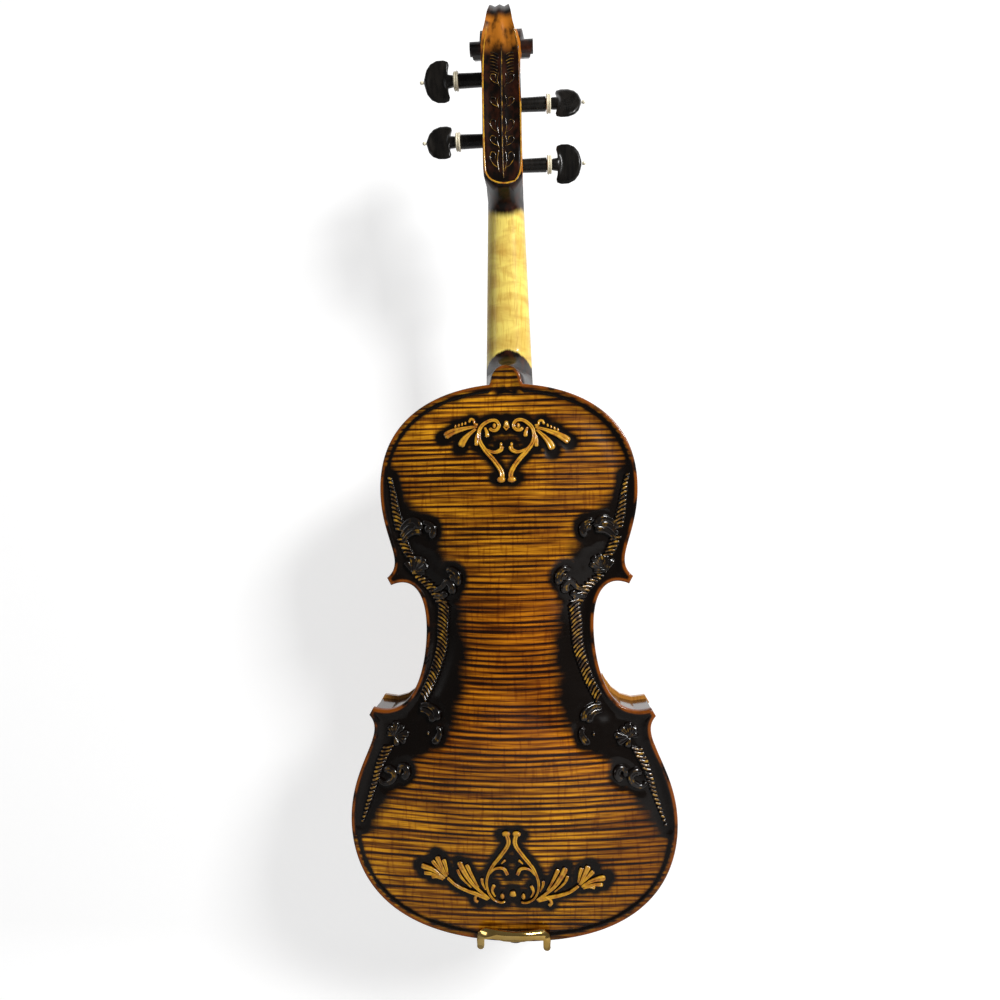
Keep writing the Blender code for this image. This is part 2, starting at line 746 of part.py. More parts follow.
def make_end_block(name, bout, at_top):
    """A block behind the middle of one end: the rib's curve outside, a flat face inside."""
    reach = BLOCK_WIDTH / 2
    half = part_of_curve(bout, -reach, 0) if at_top else part_of_curve(bout, 0, reach)[::-1]
    inner_z = half[-1].y - BLOCK_DEPTH if at_top else half[-1].y + BLOCK_DEPTH
    bevel = 0.006 if not at_top else -0.006
    side_x = half[0].x
    loop = [(side_x - 0.006, inner_z), (side_x, inner_z - bevel)] + [(p.x, p.y) for p in half]
    loop += [(-x, z) for x, z in loop[:-1][::-1]]
    return finish(prism(name, loop, RIB_BACK, RIB_FRONT), "bare_spruce")


def make_corner_block(name, first, second, side):
    """The solid corner between two ribs, closed inside by a shallow hollow."""
    near = part_of_curve(first, -CORNER_BLOCK_REACH, 0)
    far = part_of_curve(second, 0, CORNER_BLOCK_REACH)
    loop = near + far[1:]
    for path, end in ((far, -1), (near, 0)):
        along = (path[end] - path[end - 1] if end else path[1] - path[0]).normalized()
        loop.append(path[end] + CORNER_BLOCK_DEPTH * Vector((-along.y, along.x)))
    loop = [Vector((side * p.x, p.y)) for p in loop]
    return finish(prism(name, loop, RIB_BACK, RIB_FRONT), "bare_spruce")


def make_lining(name, outer, side, at_back):
    """A strip along the rib, wide at the plate and narrow at its free edge."""
    base = RIB_BACK if at_back else RIB_FRONT
    free = base + LINING_HEIGHT if at_back else base - LINING_HEIGHT
    rings = []
    for a, b in zip(outer, inset_curve(outer, LINING_WIDTH)):
        thin = a.lerp(b, 0.45)
        rings.append(
            [
                (side * a.x, base, a.y),
                (side * b.x, base, b.y),
                (side * thin.x, free, thin.y),
                (side * a.x, free, a.y),
            ]
        )
    return finish(loft(name, rings), "bare_spruce")


def make_blocks_and_linings():
    inner = inset_bouts(BLOCK_INSET)
    corner = inset_bouts(BLOCK_INSET + SEAM)
    upper_block = make_end_block("upper_block", inner[2], True)
    boolean(upper_block, HEEL_CUTTER)
    lower_block = make_end_block("lower_block", inner[0], False)
    hole = turned("cut_button_hole_block", [(-0.01, BUTTON_PIN_RADIUS + SEAM), (0.06, BUTTON_PIN_RADIUS + SEAM)], 20, "Z")
    hole.location = (0.0, BUTTON_LEVEL, 0.0)
    boolean(lower_block, hole)
    clear = 4 * SEAM
    block_half = BLOCK_WIDTH / 2 + clear
    for side, label in ((-1, "left"), (1, "right")):
        make_corner_block(f"corner_block_lower_{label}", corner[0], corner[1], side)
        make_corner_block(f"corner_block_upper_{label}", corner[1], corner[2], side)
        reach = CORNER_BLOCK_REACH + clear
        for face, at_back in (("back", True), ("top", False)):
            spans = {
                "lower": (block_half, -reach),
                "c": (reach, -reach),
                "upper": (reach, -block_half),
            }
            for index, (bout, (start, end)) in enumerate(spans.items()):
                outer = part_of_curve(inner[index], start, end)
                make_lining(f"lining_{bout}_{face}_{label}", outer, side, at_back)


BUTTON_LEVEL = (RIB_BACK + RIB_FRONT) / 2


# Neck, pegbox and scroll
RAMP_COLUMNS = 9
SIDE_COLUMNS = 3


def board_half_width(z):
    share = (NUT_HEIGHT - z) / BOARD_LENGTH
    return blend(NUT_END_WIDTH, BOARD_END_WIDTH, share) / 2


def neck_depth(z):
    share = min(max((NUT_HEIGHT - z) / (NUT_HEIGHT - HEEL_TOP), 0.0), 1.0)
    return blend(NECK_DEPTH_AT_NUT, NECK_DEPTH_AT_HEEL, share)


HEEL_BASE = BODY_LENGTH + BUTTON_HEIGHT
HEEL_TOP = HEEL_BASE + HEEL_LENGTH
ROOT_START = BODY_LENGTH - OVERHANG - MORTISE_DEPTH
CHIN_TIP = NUT_HEIGHT - 0.002
CHIN_START = CHIN_TIP - CHIN_RUN


def button_half_width(z):
    """Half of the button's width at height z, zero at its apex."""
    radius = BUTTON_WIDTH / 2
    centre = HEEL_BASE - radius
    if z <= centre:
        return radius
    if z >= HEEL_BASE:
        return 0.0
    return math.sqrt(max(radius**2 - (z - centre) ** 2, 0.0))


def chin_half_width(z):
    """Half of the pegbox back's width near its rounded lower end."""
    full = PEGBOX_CHIN_WIDTH / 2
    if z >= CHIN_TIP + CHIN_RADIUS:
        return full
    if z <= CHIN_TIP:
        return full - CHIN_RADIUS
    drop = CHIN_TIP + CHIN_RADIUS - z
    return full - CHIN_RADIUS + math.sqrt(CHIN_RADIUS**2 - drop**2)


def arc_side(front, edge, bulge):
    """Points down one side of a section, from its front corner to its back corner."""
    points = []
    for i in range(SIDE_COLUMNS + 1):
        share = i / SIDE_COLUMNS
        swell = bulge * math.sin(math.pi * share)
        points.append((blend(front[0], edge[0], share) + swell, blend(front[1], edge[1], share)))
    return points


def section(z, half_front, front, back, half_back, roundness):
    """A closed ring across the neck at height z, from a round or a boxed section or between them."""
    depth = front - back
    boxed = arc_side((half_front, front), (half_back, back), 0.0)
    sweep = 58
    rounded = []
    for i in range(SIDE_COLUMNS + 1):
        angle = math.radians(sweep * i / SIDE_COLUMNS)
        rounded.append((half_front * math.cos(angle) ** 0.9, front - depth * math.sin(angle)))
    right = [(blend(b[0], r[0], roundness), blend(b[1], r[1], roundness)) for b, r in zip(boxed, rounded)]
    ramp = []
    for i in range(1, RAMP_COLUMNS - 1):
        share = i / (RAMP_COLUMNS - 1)
        angle = math.radians(blend(sweep, 180 - sweep, share))
        sign = 1 if math.cos(angle) >= 0 else -1
        round_point = (half_front * sign * abs(math.cos(angle)) ** 0.9, front - depth * math.sin(angle))
        flat_point = (half_back * (1 - 2 * share), back)
        ramp.append((blend(flat_point[0], round_point[0], roundness), blend(flat_point[1], round_point[1], roundness)))
    ring = right + ramp + [(-x, y) for x, y in right[::-1]]
    return [(x, y, z) for x, y in ring]


def neck_section(z, grow=0.0):
    """The neck's ring at height z, from the mortise to the nut, grown outward by a clearance."""
    front = plane_level(z)
    half_front = board_half_width(z)
    under = front - neck_depth(z)
    if z < HEEL_BASE:
        return section(z, half_front + grow, front, RIB_BACK - grow, button_half_width(z) + grow, 0.0)
    if z < HEEL_TOP:
        share = (z - HEEL_BASE) / HEEL_LENGTH
        ease = 1 - (1 - share) ** 2.6
        back = blend(RIB_BACK, under, ease)
        half_back = 0.0 if share < 1e-6 else 0.45 * half_front * share**0.5
        return section(z, half_front + grow, front, back - grow, half_back + grow, smooth_step(share**0.6))
    if z < CHIN_START:
        return section(z, half_front, front, under, 0.5 * half_front, 1.0)
    share = (z - CHIN_START) / CHIN_RUN
    back = blend(under, CHIN_BACK, min(share, 1.0) ** 2.2)
    half_back = chin_half_width(z) * blend(0.6, 1.0, min(share, 1.0))
    roundness = 1 - smooth_step(share)
    return section(z, half_front, front, back, half_back, roundness)


def back_line(share):
    """(y, z) down the back of the pegbox: 0 at the chin's tip, 1 at the volute's widest point."""
    far = EYE_DEPTH - VOLUTE_RADIUS
    height = EYE_HEIGHT - CHIN_TIP
    start = Vector((CHIN_BACK, CHIN_TIP))
    first = Vector((CHIN_BACK - 0.0025, CHIN_TIP + 0.62 * height))
    second = Vector((far, CHIN_TIP + 0.865 * height))
    end = Vector((far, EYE_HEIGHT))
    t = share
    point = (1 - t) ** 3 * start + 3 * (1 - t) ** 2 * t * first + 3 * (1 - t) * t * t * second + t**3 * end
    return point.x, point.y


def volute_radius(angle):
    return VOLUTE_RADIUS * VOLUTE_RATIO ** (angle / 360)


def volute_point(angle):
    """(y, z) on the spiral. Angle 0 points to the back, 90 up, 180 to the front."""
    turn = math.radians(angle)
    radius = volute_radius(angle)
    return EYE_DEPTH - radius * math.cos(turn), EYE_HEIGHT + radius * math.sin(turn)


EYE_END = 360 * math.log(EYE_RADIUS / VOLUTE_RADIUS) / math.log(VOLUTE_RATIO)
EYE_START = EYE_END - 360
VOLUTE_WIDTHS = (
    (0, 0.0086),
    (20, 0.0073),
    (45, 0.0058),
    (80, 0.0053),
    (130, 0.0063),
    (180, 0.0086),
    (THROAT_ANGLE, 0.0112),
    (270, 0.0121),
    (360, 0.0128),
    (EYE_START, 0.0133),
    (540, 0.0163),
    (630, 0.0186),
    (EYE_END, EYE_HALF_WIDTH),
)
PEGBOX_WIDTHS = ((0.0, 0.0128), (0.2, 0.0126), (0.5, 0.0118), (0.72, 0.0115), (0.86, 0.0103), (1.0, 0.0086))


def volute_half_width(angle):
    return through(VOLUTE_WIDTHS, angle)


def front_line(share):
    """(y, z) along the front edge of the pegbox's cheeks: 0 at the nut, 1 at the throat."""
    throat_y, throat_z = volute_point(THROAT_ANGLE)
    z = blend(NUT_HEIGHT, throat_z, share)
    dip = plane_level(throat_z) - throat_y
    return plane_level(z) - dip * share**1.4, z


def ramp_row(point, half, flute, lean):
    """A row across the head's back: two flutes between a middle ridge and the two edges."""
    y, z = point
    row = []
    for i in range(RAMP_COLUMNS):
        share = 1 - 2 * i / (RAMP_COLUMNS - 1)
        sink = flute * math.sin(math.pi * abs(share)) ** 2
        row.append((half * share, y + sink * lean[0], z + sink * lean[1]))
    return row


def side_row(front, edge, x_front, x_edge, hollow, side):
    """A row down a cheek or a turn's side, from its inner boundary to its outer edge."""
    row = []
    for i in range(SIDE_COLUMNS + 1):
        share = i / SIDE_COLUMNS
        x = blend(x_front, x_edge, share) - hollow * math.sin(math.pi * share)
        row.append((side * x, blend(front[0], edge[0], share), blend(front[1], edge[1], share)))
    return row


def pegbox_station(share):
    """The front and back corners of the pegbox's side at a share of its length, with their half widths."""
    chin_share = 0.11
    half = through(PEGBOX_WIDTHS, share) * PEGBOX_CHIN_WIDTH / 0.0256
    back = back_line(share)
    if share < chin_share:
        half = min(half, chin_half_width(back[1]))
    return back, half


def make_neck():
    bm = bmesh.new()
    shaft_heights = [ROOT_START, BODY_LENGTH - OVERHANG, HEEL_BASE - BUTTON_WIDTH / 2]
    shaft_heights += [HEEL_BASE - BUTTON_WIDTH / 2 * (1 - s) for s in (0.45, 0.75, 0.92)]
    shaft_heights += [HEEL_BASE + HEEL_LENGTH * s for s in (0.0, 0.04, 0.12, 0.25, 0.42, 0.65, 0.85)]
    shaft_heights += list(np.linspace(HEEL_TOP, CHIN_START, 6))
    shaft_heights += [CHIN_START + CHIN_RUN * s for s in (0.25, 0.45, 0.62, 0.77, 0.9, 1.0)]
    rings = [neck_section(z) for z in shaft_heights]
    loops = [[bm.verts.new(p) for p in ring] for ring in rings]
    bm.faces.new(loops[0])
    for low, high in zip(loops, loops[1:]):
        for i in range(len(low)):
            j = (i + 1) % len(low)
            bm.faces.new((low[i], low[j], high[j], high[i]))
    head_rows(bm, rings[-1])
    neck = object_from_bmesh("neck", bm)
    boolean(neck, pegbox_cutter())
    for string in STRING_ORDER:
        boolean(neck, peg_hole_cutter(string))
    return finish(neck, "dark_maple", 32)


def head_rows(bm, chin_ring):
    """The pegbox and scroll as strips: the cheeks, the fluted back, the front face and the volutes."""
    right_count = SIDE_COLUMNS + 1
    chin_row = chin_ring[right_count - 1 : right_count - 1 + RAMP_COLUMNS]
    shares = [0.035, 0.07, 0.11, 0.18, 0.27, 0.36, 0.45, 0.55, 0.64, 0.75, 0.87, 1.0]
    throat_share = 0.55
    inner_angles = {0.64: 262.0, 0.75: 295.0, 0.87: 328.0, 1.0: 360.0}
    flute_full = 0.3
    ramp = [chin_row]
    cheeks = {1: [chin_ring[:right_count]], -1: [chin_ring[-right_count:][::-1]]}
    fronts = [[(x, chin_ring[0][1], chin_ring[0][2]) for x in (chin_ring[0][0], chin_ring[-1][0])]]
    chin_front = chin_ring[0]
    front_rows = []
    for share in shares:
        back, half = pegbox_station(share)
        flute = FLUTE_DEPTH * smooth_step(share / flute_full)
        ramp.append(ramp_row(back, half, flute, (1.0, 0.0)))
        if share <= throat_share:
            run = share / throat_share
            front = front_line(blend(0.0, 1.0, run))
            x_front = blend(chin_front[0], volute_half_width(THROAT_ANGLE), smooth_step(run * 1.0))
            front_rows.append((front, x_front))
        else:
            turn = inner_angles[share]
            front = volute_point(turn)
            x_front = blend(volute_half_width(THROAT_ANGLE), half, (share - throat_share) / (1 - throat_share))
        for side in (1, -1):
            cheeks[side].append(side_row(front, back, x_front, half, 0.0, side))
        if share > throat_share:
            INNER_LINE[turn] = (x_front, front)
    INNER_LINE[THROAT_ANGLE] = (front_rows[-1][1], front_rows[-1][0])
    overlap = EYE_START - 360
    first_turns = [overlap * k / 3 for k in (1, 2, 3)]
    first_turns += list(np.linspace(overlap, THROAT_ANGLE, 10)[1:])
    for turn in first_turns:
        inward = (math.cos(math.radians(turn)), -math.sin(math.radians(turn)))
        fade = smooth_step((THROAT_ANGLE - turn) / 60)
        ramp.append(ramp_row(volute_point(turn), volute_half_width(turn), FLUTE_DEPTH * fade, inward))
    grid_strip(bm, ramp)
    front_face(bm, chin_ring, front_rows)
    inner_turns = sorted(INNER_LINE)
    side_turns = first_turns + inner_turns[1:] + [turn + 360 for turn in first_turns[:3]]
    for side in (1, -1):
        rows = cheeks[side]
        for turn in side_turns:
            inner_x = volute_half_width(turn) - 0.0002
            rows.append(
                side_row(
                    volute_point(turn + 360), volute_point(turn), inner_x, volute_half_width(turn), CHEEK_HOLLOW, side
                )
            )
        boss_turns = [turn + 360 for turn in side_turns if turn > overlap + 1e-6]
        boss = [(side * (volute_half_width(EYE_START) - 0.0002), *boss_point(EYE_START))]
        for turn in boss_turns:
            half = volute_half_width(turn)
            inner = boss_point(turn)
            rows.append(side_row(inner, volute_point(turn), half, half, 0.0, side))
            boss.append((side * half, *inner))
        grid_strip(bm, rows)
        add_inner_ramps(bm, side, side_turns)
        add_eye(bm, side, boss, boss_turns)


INNER_LINE = {}


def boss_point(turn):
    angle = math.radians(turn)
    return EYE_DEPTH - EYE_RADIUS * math.cos(angle), EYE_HEIGHT + EYE_RADIUS * math.sin(angle)


def front_face(bm, chin_ring, front_rows):
    """The flat front of the pegbox, from the nut to the throat, where it meets the volute."""
    last = ramp_row(front_rows[-1][0], front_rows[-1][1], 0.0, (0.0, 0.0))
    rows = []
    for front, half in front_rows[:-1]:
        rows.append([(half, front[0], front[1]), (-half, front[0], front[1])])
    start = [chin_ring[0], chin_ring[-1]]
    grid_strip(bm, [start] + rows)
    corners = [bm.verts.new(p) for p in rows[-1]]
    far = [bm.verts.new(p) for p in last]
    bm.faces.new([corners[0]] + far + [corners[1]])


def add_inner_ramps(bm, side, side_turns):
    """The ramp that steps out from each turn's side to the next turn's edge."""
    strip = []
    for turn, (x, _) in sorted(INNER_LINE.items()):
        y, z = volute_point(turn)
        strip.append([(side * x, y, z), (side * max(volute_half_width(turn), x), y, z)])
    for turn in side_turns:
        y, z = volute_point(turn + 360)
        x = volute_half_width(turn) - 0.0002
        strip.append([(side * x, y, z), (side * volute_half_width(turn + 360), y, z)])
    grid_strip(bm, strip)


def add_eye(bm, side, boss, boss_turns):
    """The round eye that ends a volute: its wall, stepping up from the last turn, and its end face."""
    top = []
    for turn in [EYE_START] + boss_turns:
        y, z = boss_point(turn)
        top.append((side * EYE_HALF_WIDTH, y, z))
    low = [bm.verts.new(p) for p in boss]
    high = [bm.verts.new(p) for p in top]
    for i in range(len(low) - 1):
        bm.faces.new((low[i], low[i + 1], high[i + 1], high[i]))
    bm.faces.new(high[:-1])


def pegbox_cutter():
    """The pegbox's mortise, wide at the nut and narrow at the throat."""
    rings = []
    start = NUT_HEIGHT + NUT_LENGTH + SEAM
    end = NUT_HEIGHT + PEG_ABOVE_NUT["a"] + PEG_RADIUS + PEGBOX_END_ROOM
    for share in (0.0, 0.35, 0.7, 1.0):
        z = blend(start, end, share)
        line = (z - CHIN_TIP) / (EYE_HEIGHT - CHIN_TIP)
        outer = through(PEGBOX_WIDTHS, line)
        half = outer - PEGBOX_WALL - 0.0008 * share
        floor = floor_level(z) + PEGBOX_FLOOR
        top = plane_level(z) + 0.004
        rings.append([(half, floor, z), (half, top, z), (-half, top, z), (-half, floor, z)])
    return loft("cut_pegbox_mortise", rings)


def floor_level(z):
    """y of the pegbox's back at height z."""
    share = 0.5
    for _ in range(30):
        share += (z - back_line(share)[1]) / (EYE_HEIGHT - CHIN_TIP) * 0.7
        share = min(max(share, 0.0), 1.0)
    return back_line(share)[0]


# Pegs
def peg_place(string):
    z = NUT_HEIGHT + PEG_ABOVE_NUT[string]
    return plane_level(z) - PEG_BELOW_PLANE[string], z


def peg_radius(along):
    """The shaft's radius at a distance from the neck's middle plane, towards the head."""
    return PEG_RADIUS - PEG_TAPER * (PEGBOX_CHIN_WIDTH / 2 - along)


def cheek_half_width(z):
    share = (z - CHIN_TIP) / (EYE_HEIGHT - CHIN_TIP)
    return through(PEGBOX_WIDTHS, share) * PEGBOX_CHIN_WIDTH / 0.0256


def place_on_peg_axis(obj, string):
    y, z = peg_place(string)
    obj.location = (0.0, y, z)
    obj.rotation_euler = (0.0, 0.0, 0.0 if PEG_SIDE[string] > 0 else math.pi)
    return obj


def peg_hole_cutter(string):
    reach = PEGBOX_CHIN_WIDTH
    profile = [(-reach, peg_radius(-reach) + PEG_CLEARANCE), (reach, peg_radius(reach) + PEG_CLEARANCE)]
    return place_on_peg_axis(turned(f"cut_peg_hole_{string}", profile, 18), string)


def peg_head_rings(steps):
    """Rings of the flat, heart-shaped thumb piece. Its two lobes sweep back towards the collar."""
    start = COLLAR_OFFSET + COLLAR_WIDTH + 0.0006
    stations = (
        (0.02, 0.0, 0.29, 0.60),
        (0.17, 0.0, 0.33, 0.56),
        (0.23, 0.07, 0.60, 0.50),
        (0.29, 0.17, 0.83, 0.46),
        (0.37, 0.22, 0.96, 0.44),
        (0.50, 0.20, 1.00, 0.45),
        (0.65, 0.10, 0.94, 0.46),
        (0.80, 0.03, 0.74, 0.44),
        (0.92, 0.0, 0.47, 0.36),
        (1.0, 0.0, 0.16, 0.22),
    )
    rings = []
    for along, sweep, breadth, thickness in stations:
        ring = []
        for i in range(steps):
            angle = 2 * math.pi * (i + 0.5) / steps
            back = sweep * PEG_HEAD_LENGTH * math.cos(angle) ** 2
            x = start + along * PEG_HEAD_LENGTH - back
            wide = breadth * PEG_HEAD_BREADTH / 2 * math.cos(angle)
            thick = thickness * PEG_HEAD_THICKNESS * math.sin(angle)
            ring.append((x, thick, wide))
        rings.append(ring)
    return rings


def peg_head_end():
    return COLLAR_OFFSET + COLLAR_WIDTH + 0.0006 + PEG_HEAD_LENGTH


def make_peg(string, turn):
    """One peg: its tapered shaft, the journal under the collar and its thumb piece."""
    steps = 16
    y, z = peg_place(string)
    tip = -(cheek_half_width(z) - 0.0002)
    journal = COLLAR_RADIUS * 0.55
    rings = []
    for along, radius in (
        (tip, peg_radius(tip)),
        (COLLAR_OFFSET - SEAM, peg_radius(COLLAR_OFFSET)),
        (COLLAR_OFFSET - SEAM, journal),
        (COLLAR_OFFSET + COLLAR_WIDTH + SEAM, journal),
    ):
        rings.append([(along, a, b) for b, a in ring_points(radius, steps, 0.5)])
    rings += peg_head_rings(steps)
    peg = place_on_peg_axis(loft(f"peg_{string}", rings), string)
    peg.rotation_euler.x = turn
    return finish(peg, "ebony")


def make_collar(string):
    bore = COLLAR_RADIUS * 0.55 + SEAM
    low = COLLAR_OFFSET
    high = COLLAR_OFFSET + COLLAR_WIDTH
    profile = [(low, bore), (low, 0.82 * COLLAR_RADIUS), (blend(low, high, 0.25), 0.95 * COLLAR_RADIUS)]
    profile += [(blend(low, high, 0.5), COLLAR_RADIUS), (blend(low, high, 0.75), 0.93 * COLLAR_RADIUS)]
    profile += [(high, 0.8 * COLLAR_RADIUS), (high, bore)]
    collar = place_on_peg_axis(turned_ring(f"peg_collar_{string}", profile, 16), string)
    return finish(collar, "bone")


def make_pip(string):
    start = peg_head_end() + SEAM
    profile = [(start, 0.6 * PIP_RADIUS), (start + 0.5 * PIP_RADIUS, 0.75 * PIP_RADIUS)]
    profile += [(start + 1.1 * PIP_RADIUS, PIP_RADIUS), (start + 1.7 * PIP_RADIUS, 0.72 * PIP_RADIUS)]
    profile += [(start + 2.0 * PIP_RADIUS, 0.3 * PIP_RADIUS)]
    return finish(place_on_peg_axis(turned(f"peg_pip_{string}", profile, 10), string), "bone")


# Fingerboard and nut
def crown(half, radius):
    """How far a round surface rises at its middle over a chord of that half width."""
    return radius - math.sqrt(radius**2 - half**2)


def board_ring(z):
    half = board_half_width(z)
    base = plane_level(z) + SEAM
    side = base + BOARD_SIDE
    ring = [(half, base, z), (half, side, z)]
    steps = 8
    for i in range(1, steps):
        x = half * (1 - 2 * i / steps)
        ring.append((x, side + crown(half, BOARD_RADIUS) - crown(abs(x), BOARD_RADIUS), z))
    return ring + [(-half, side, z), (-half, base, z)]


def make_fingerboard():
    rings = [board_ring(NUT_HEIGHT - SEAM)]
    rings += [board_ring(NUT_HEIGHT - BOARD_LENGTH * s) for s in (0.33, 0.66, 1.0)]
    board = loft("fingerboard", rings)
    hollow_start = NUT_HEIGHT - BOARD_LENGTH - 0.01
    rings = []
    for z in (hollow_start, ROOT_START - 0.012):
        half = board_half_width(z) - 0.004
        level = plane_level(z)
        depth = 0.0032 if z == hollow_start else 0.0012
        arch = [(half * math.cos(a), level + depth * math.sin(a), z) for a in np.linspace(0, math.pi, 7)]
        rings.append(arch + [(-half, level - 0.004, z), (half, level - 0.004, z)])
    boolean(board, loft("cut_board_hollow", rings))
    return finish(board, "ebony")


def board_top(x, z):
    return plane_level(z) + SEAM + BOARD_SIDE + crown(board_half_width(z), BOARD_RADIUS) - crown(abs(x), BOARD_RADIUS)


def make_nut():
    half = NUT_END_WIDTH / 2 - 0.0002
    rings = []
    steps = 8
    for i in range(steps + 1):
        x = half * (1 - 2 * i / steps)
        top = board_top(x, NUT_HEIGHT) + NUT_LIFT
        base = plane_level(NUT_HEIGHT) + SEAM
        far = plane_level(NUT_HEIGHT + NUT_LENGTH) + SEAM
        ring = [
            (x, base, NUT_HEIGHT),
            (x, top, NUT_HEIGHT),
            (x, top - 0.0002, NUT_HEIGHT + 0.3 * NUT_LENGTH),
            (x, top - 0.0013, NUT_HEIGHT + 0.8 * NUT_LENGTH),
            (x, top - 0.0028, NUT_HEIGHT + NUT_LENGTH),
            (x, far, NUT_HEIGHT + NUT_LENGTH),
        ]
        rings.append(ring)
    return finish(loft("nut", rings), "ebony")


# Bridge
def bridge_top_centre():
    return top_level(0.0, BRIDGE_Z) + BRIDGE_HEIGHT


def bridge_top(x):
    """y of the bridge's crown, lower on the treble side."""
    return bridge_top_centre() - crown(min(abs(x), BRIDGE_RADIUS * 0.9), BRIDGE_RADIUS) + BRIDGE_TILT * x / 0.017


def bridge_outline():
    """The bridge's outline in (x, y), with its two feet and the arch between them."""
    foot = BRIDGE_WIDTH / 2
    base = top_level(foot, BRIDGE_Z)
    rise = bridge_top_centre() - base
    crown_half = STRING_SPREAD_AT_BRIDGE / 2 + 0.0035
    points = []
    seat = SEAM + 0.0002
    for share in (1.0, 0.8, 0.62):
        x = foot * share
        points.append((x, top_outer_level(x, BRIDGE_Z) + seat))
    points.append((0.56 * foot, base + 0.14 * rise))
    points.append((0.42 * foot, base + 0.24 * rise))
    points.append((0.2 * foot, base + 0.29 * rise))
    left = [(-x, y) for x, y in points[::-1]]
    right_side = [(foot * 1.0, base + 0.10 * rise), (0.86 * foot, base + 0.20 * rise)]
    right_side += [(0.74 * foot, base + 0.34 * rise), (0.80 * foot, base + 0.50 * rise)]
    right_side += [(0.98 * foot, base + 0.62 * rise), (crown_half, base + 0.78 * rise)]
    left_side = [(-x, y) for x, y in right_side[::-1]]
    top = [(crown_half * s, bridge_top(crown_half * s)) for s in np.linspace(1, -1, 11)]
    return points[::-1] + right_side + top + left_side + left[::-1]


def make_bridge():
    loop = bridge_outline()
    base = min(y for _, y in loop)
    height = max(y for _, y in loop) - base
    rings = []
    for face in (0, 1):
        ring = []
        for x, y in loop:
            share = (y - base) / height
            thickness = blend(BRIDGE_FOOT_THICKNESS, BRIDGE_TOP_THICKNESS, share)
            back = -BRIDGE_FOOT_THICKNESS / 2
            ring.append((x, y, BRIDGE_Z + back + (thickness if face else 0.0)))
        rings.append(ring)
    bridge = loft("bridge", rings)
    centre = (0.0, bridge_top_centre() - 0.42 * BRIDGE_HEIGHT)
    heart = [
        (centre[0] + 0.0042 * math.sin(a) ** 3, centre[1] + 0.0034 * (math.cos(a) - 0.35 * math.cos(2 * a)))
        for a in np.linspace(0, 2 * math.pi, 15)[:-1]
    ]
    low = BRIDGE_Z - 0.01
    cut = [[(x, y, low) for x, y in heart], [(x, y, low + 0.02) for x, y in heart]]
    boolean(bridge, loft("cut_bridge_heart", cut))
    return finish(bridge, "bridge_maple")


# Saddle, end button, tailpiece and tailgut
def make_saddle():
    half = SADDLE_WIDTH / 2
    top = TOP_OUTSIDE + SADDLE_RISE
    rings = []
    for share in (-1.0, -0.8, -0.55, 0.55, 0.8, 1.0):
        x = half * share
        lift = top - 0.0022 * max(abs(share) - 0.55, 0.0) / 0.45
        rings.append(
            [
                (x, TOP_INSIDE, 0.0004 + 0.4 * SEAM + edge_height(x)),
                (x, lift - 0.0012, 0.0004 + edge_height(x)),
                (x, lift, 0.0014 + edge_height(x)),
                (x, lift, 0.55 * SADDLE_DEPTH),
                (x, lift - 0.0016, SADDLE_DEPTH),
                (x, TOP_INSIDE, SADDLE_DEPTH),
            ]
        )
    return finish(loft("saddle", rings), "ebony")


def edge_height(x):
    """z of the body's bottom edge at a distance from its middle."""
    points = BOUTS[0]
    for a, b in zip(points, points[1:]):
        if a.x <= abs(x) <= b.x:
            return blend(a.y, b.y, (abs(x) - a.x) / (b.x - a.x))
    return points[-1].y


def make_end_button():
    """The turned end button: a pin in the block, a flange on the rib, a groove and a knob."""
    inside_end = OVERHANG + RIB_THICKNESS + BLOCK_DEPTH - 0.001
    rib_face = OVERHANG - SEAM
    end = -BUTTON_LENGTH + 0.002
    length = rib_face - end
    profile = [
        (inside_end, 0.85 * BUTTON_PIN_RADIUS),
        (rib_face, BUTTON_PIN_RADIUS),
        (rib_face, BUTTON_KNOB_RADIUS * 0.86),
        (rib_face - 0.10 * length, BUTTON_KNOB_RADIUS * 0.90),
        (rib_face - 0.18 * length, BUTTON_KNOB_RADIUS * 0.80),
        (rib_face - 0.28 * length, BUTTON_GROOVE_RADIUS),
        (rib_face - 0.44 * length, BUTTON_GROOVE_RADIUS),
        (rib_face - 0.56 * length, 0.90 * BUTTON_KNOB_RADIUS),
        (rib_face - 0.70 * length, BUTTON_KNOB_RADIUS),
        (rib_face - 0.86 * length, 0.93 * BUTTON_KNOB_RADIUS),
        (rib_face - 0.97 * length, 0.75 * BUTTON_KNOB_RADIUS),
        (end, BUTTON_END_RADIUS),
    ]
    button = turned("end_button", profile, 20, "Z")
    button.location = (0.0, BUTTON_LEVEL, 0.0)
    return finish(button, "ebony")


def groove_height():
    rib_face = OVERHANG - SEAM
    length = rib_face + BUTTON_LENGTH - 0.002
    return rib_face - 0.36 * length


def tailpiece_level(z):
    """y of the tailpiece's underside at height z."""
    return TOP_OUTSIDE + TAILPIECE_END_LEVEL + TAILPIECE_RISE * (z - TAILPIECE_START) / TAILPIECE_LENGTH


TAILPIECE_TOP = TAILPIECE_START + TAILPIECE_LENGTH
FRET_HEIGHT = BRIDGE_Z - AFTERLENGTH


def tailpiece_half_width(z):
    share = (z - TAILPIECE_START) / TAILPIECE_LENGTH
    return blend(TAILPIECE_END_WIDTH, TAILPIECE_TOP_WIDTH, share**1.25) / 2


def tailpiece_crown(x, z):
    half = tailpiece_half_width(z)
    return tailpiece_level(z) + TAILPIECE_THICKNESS + 0.16 * half * (1 - (x / half) ** 2)


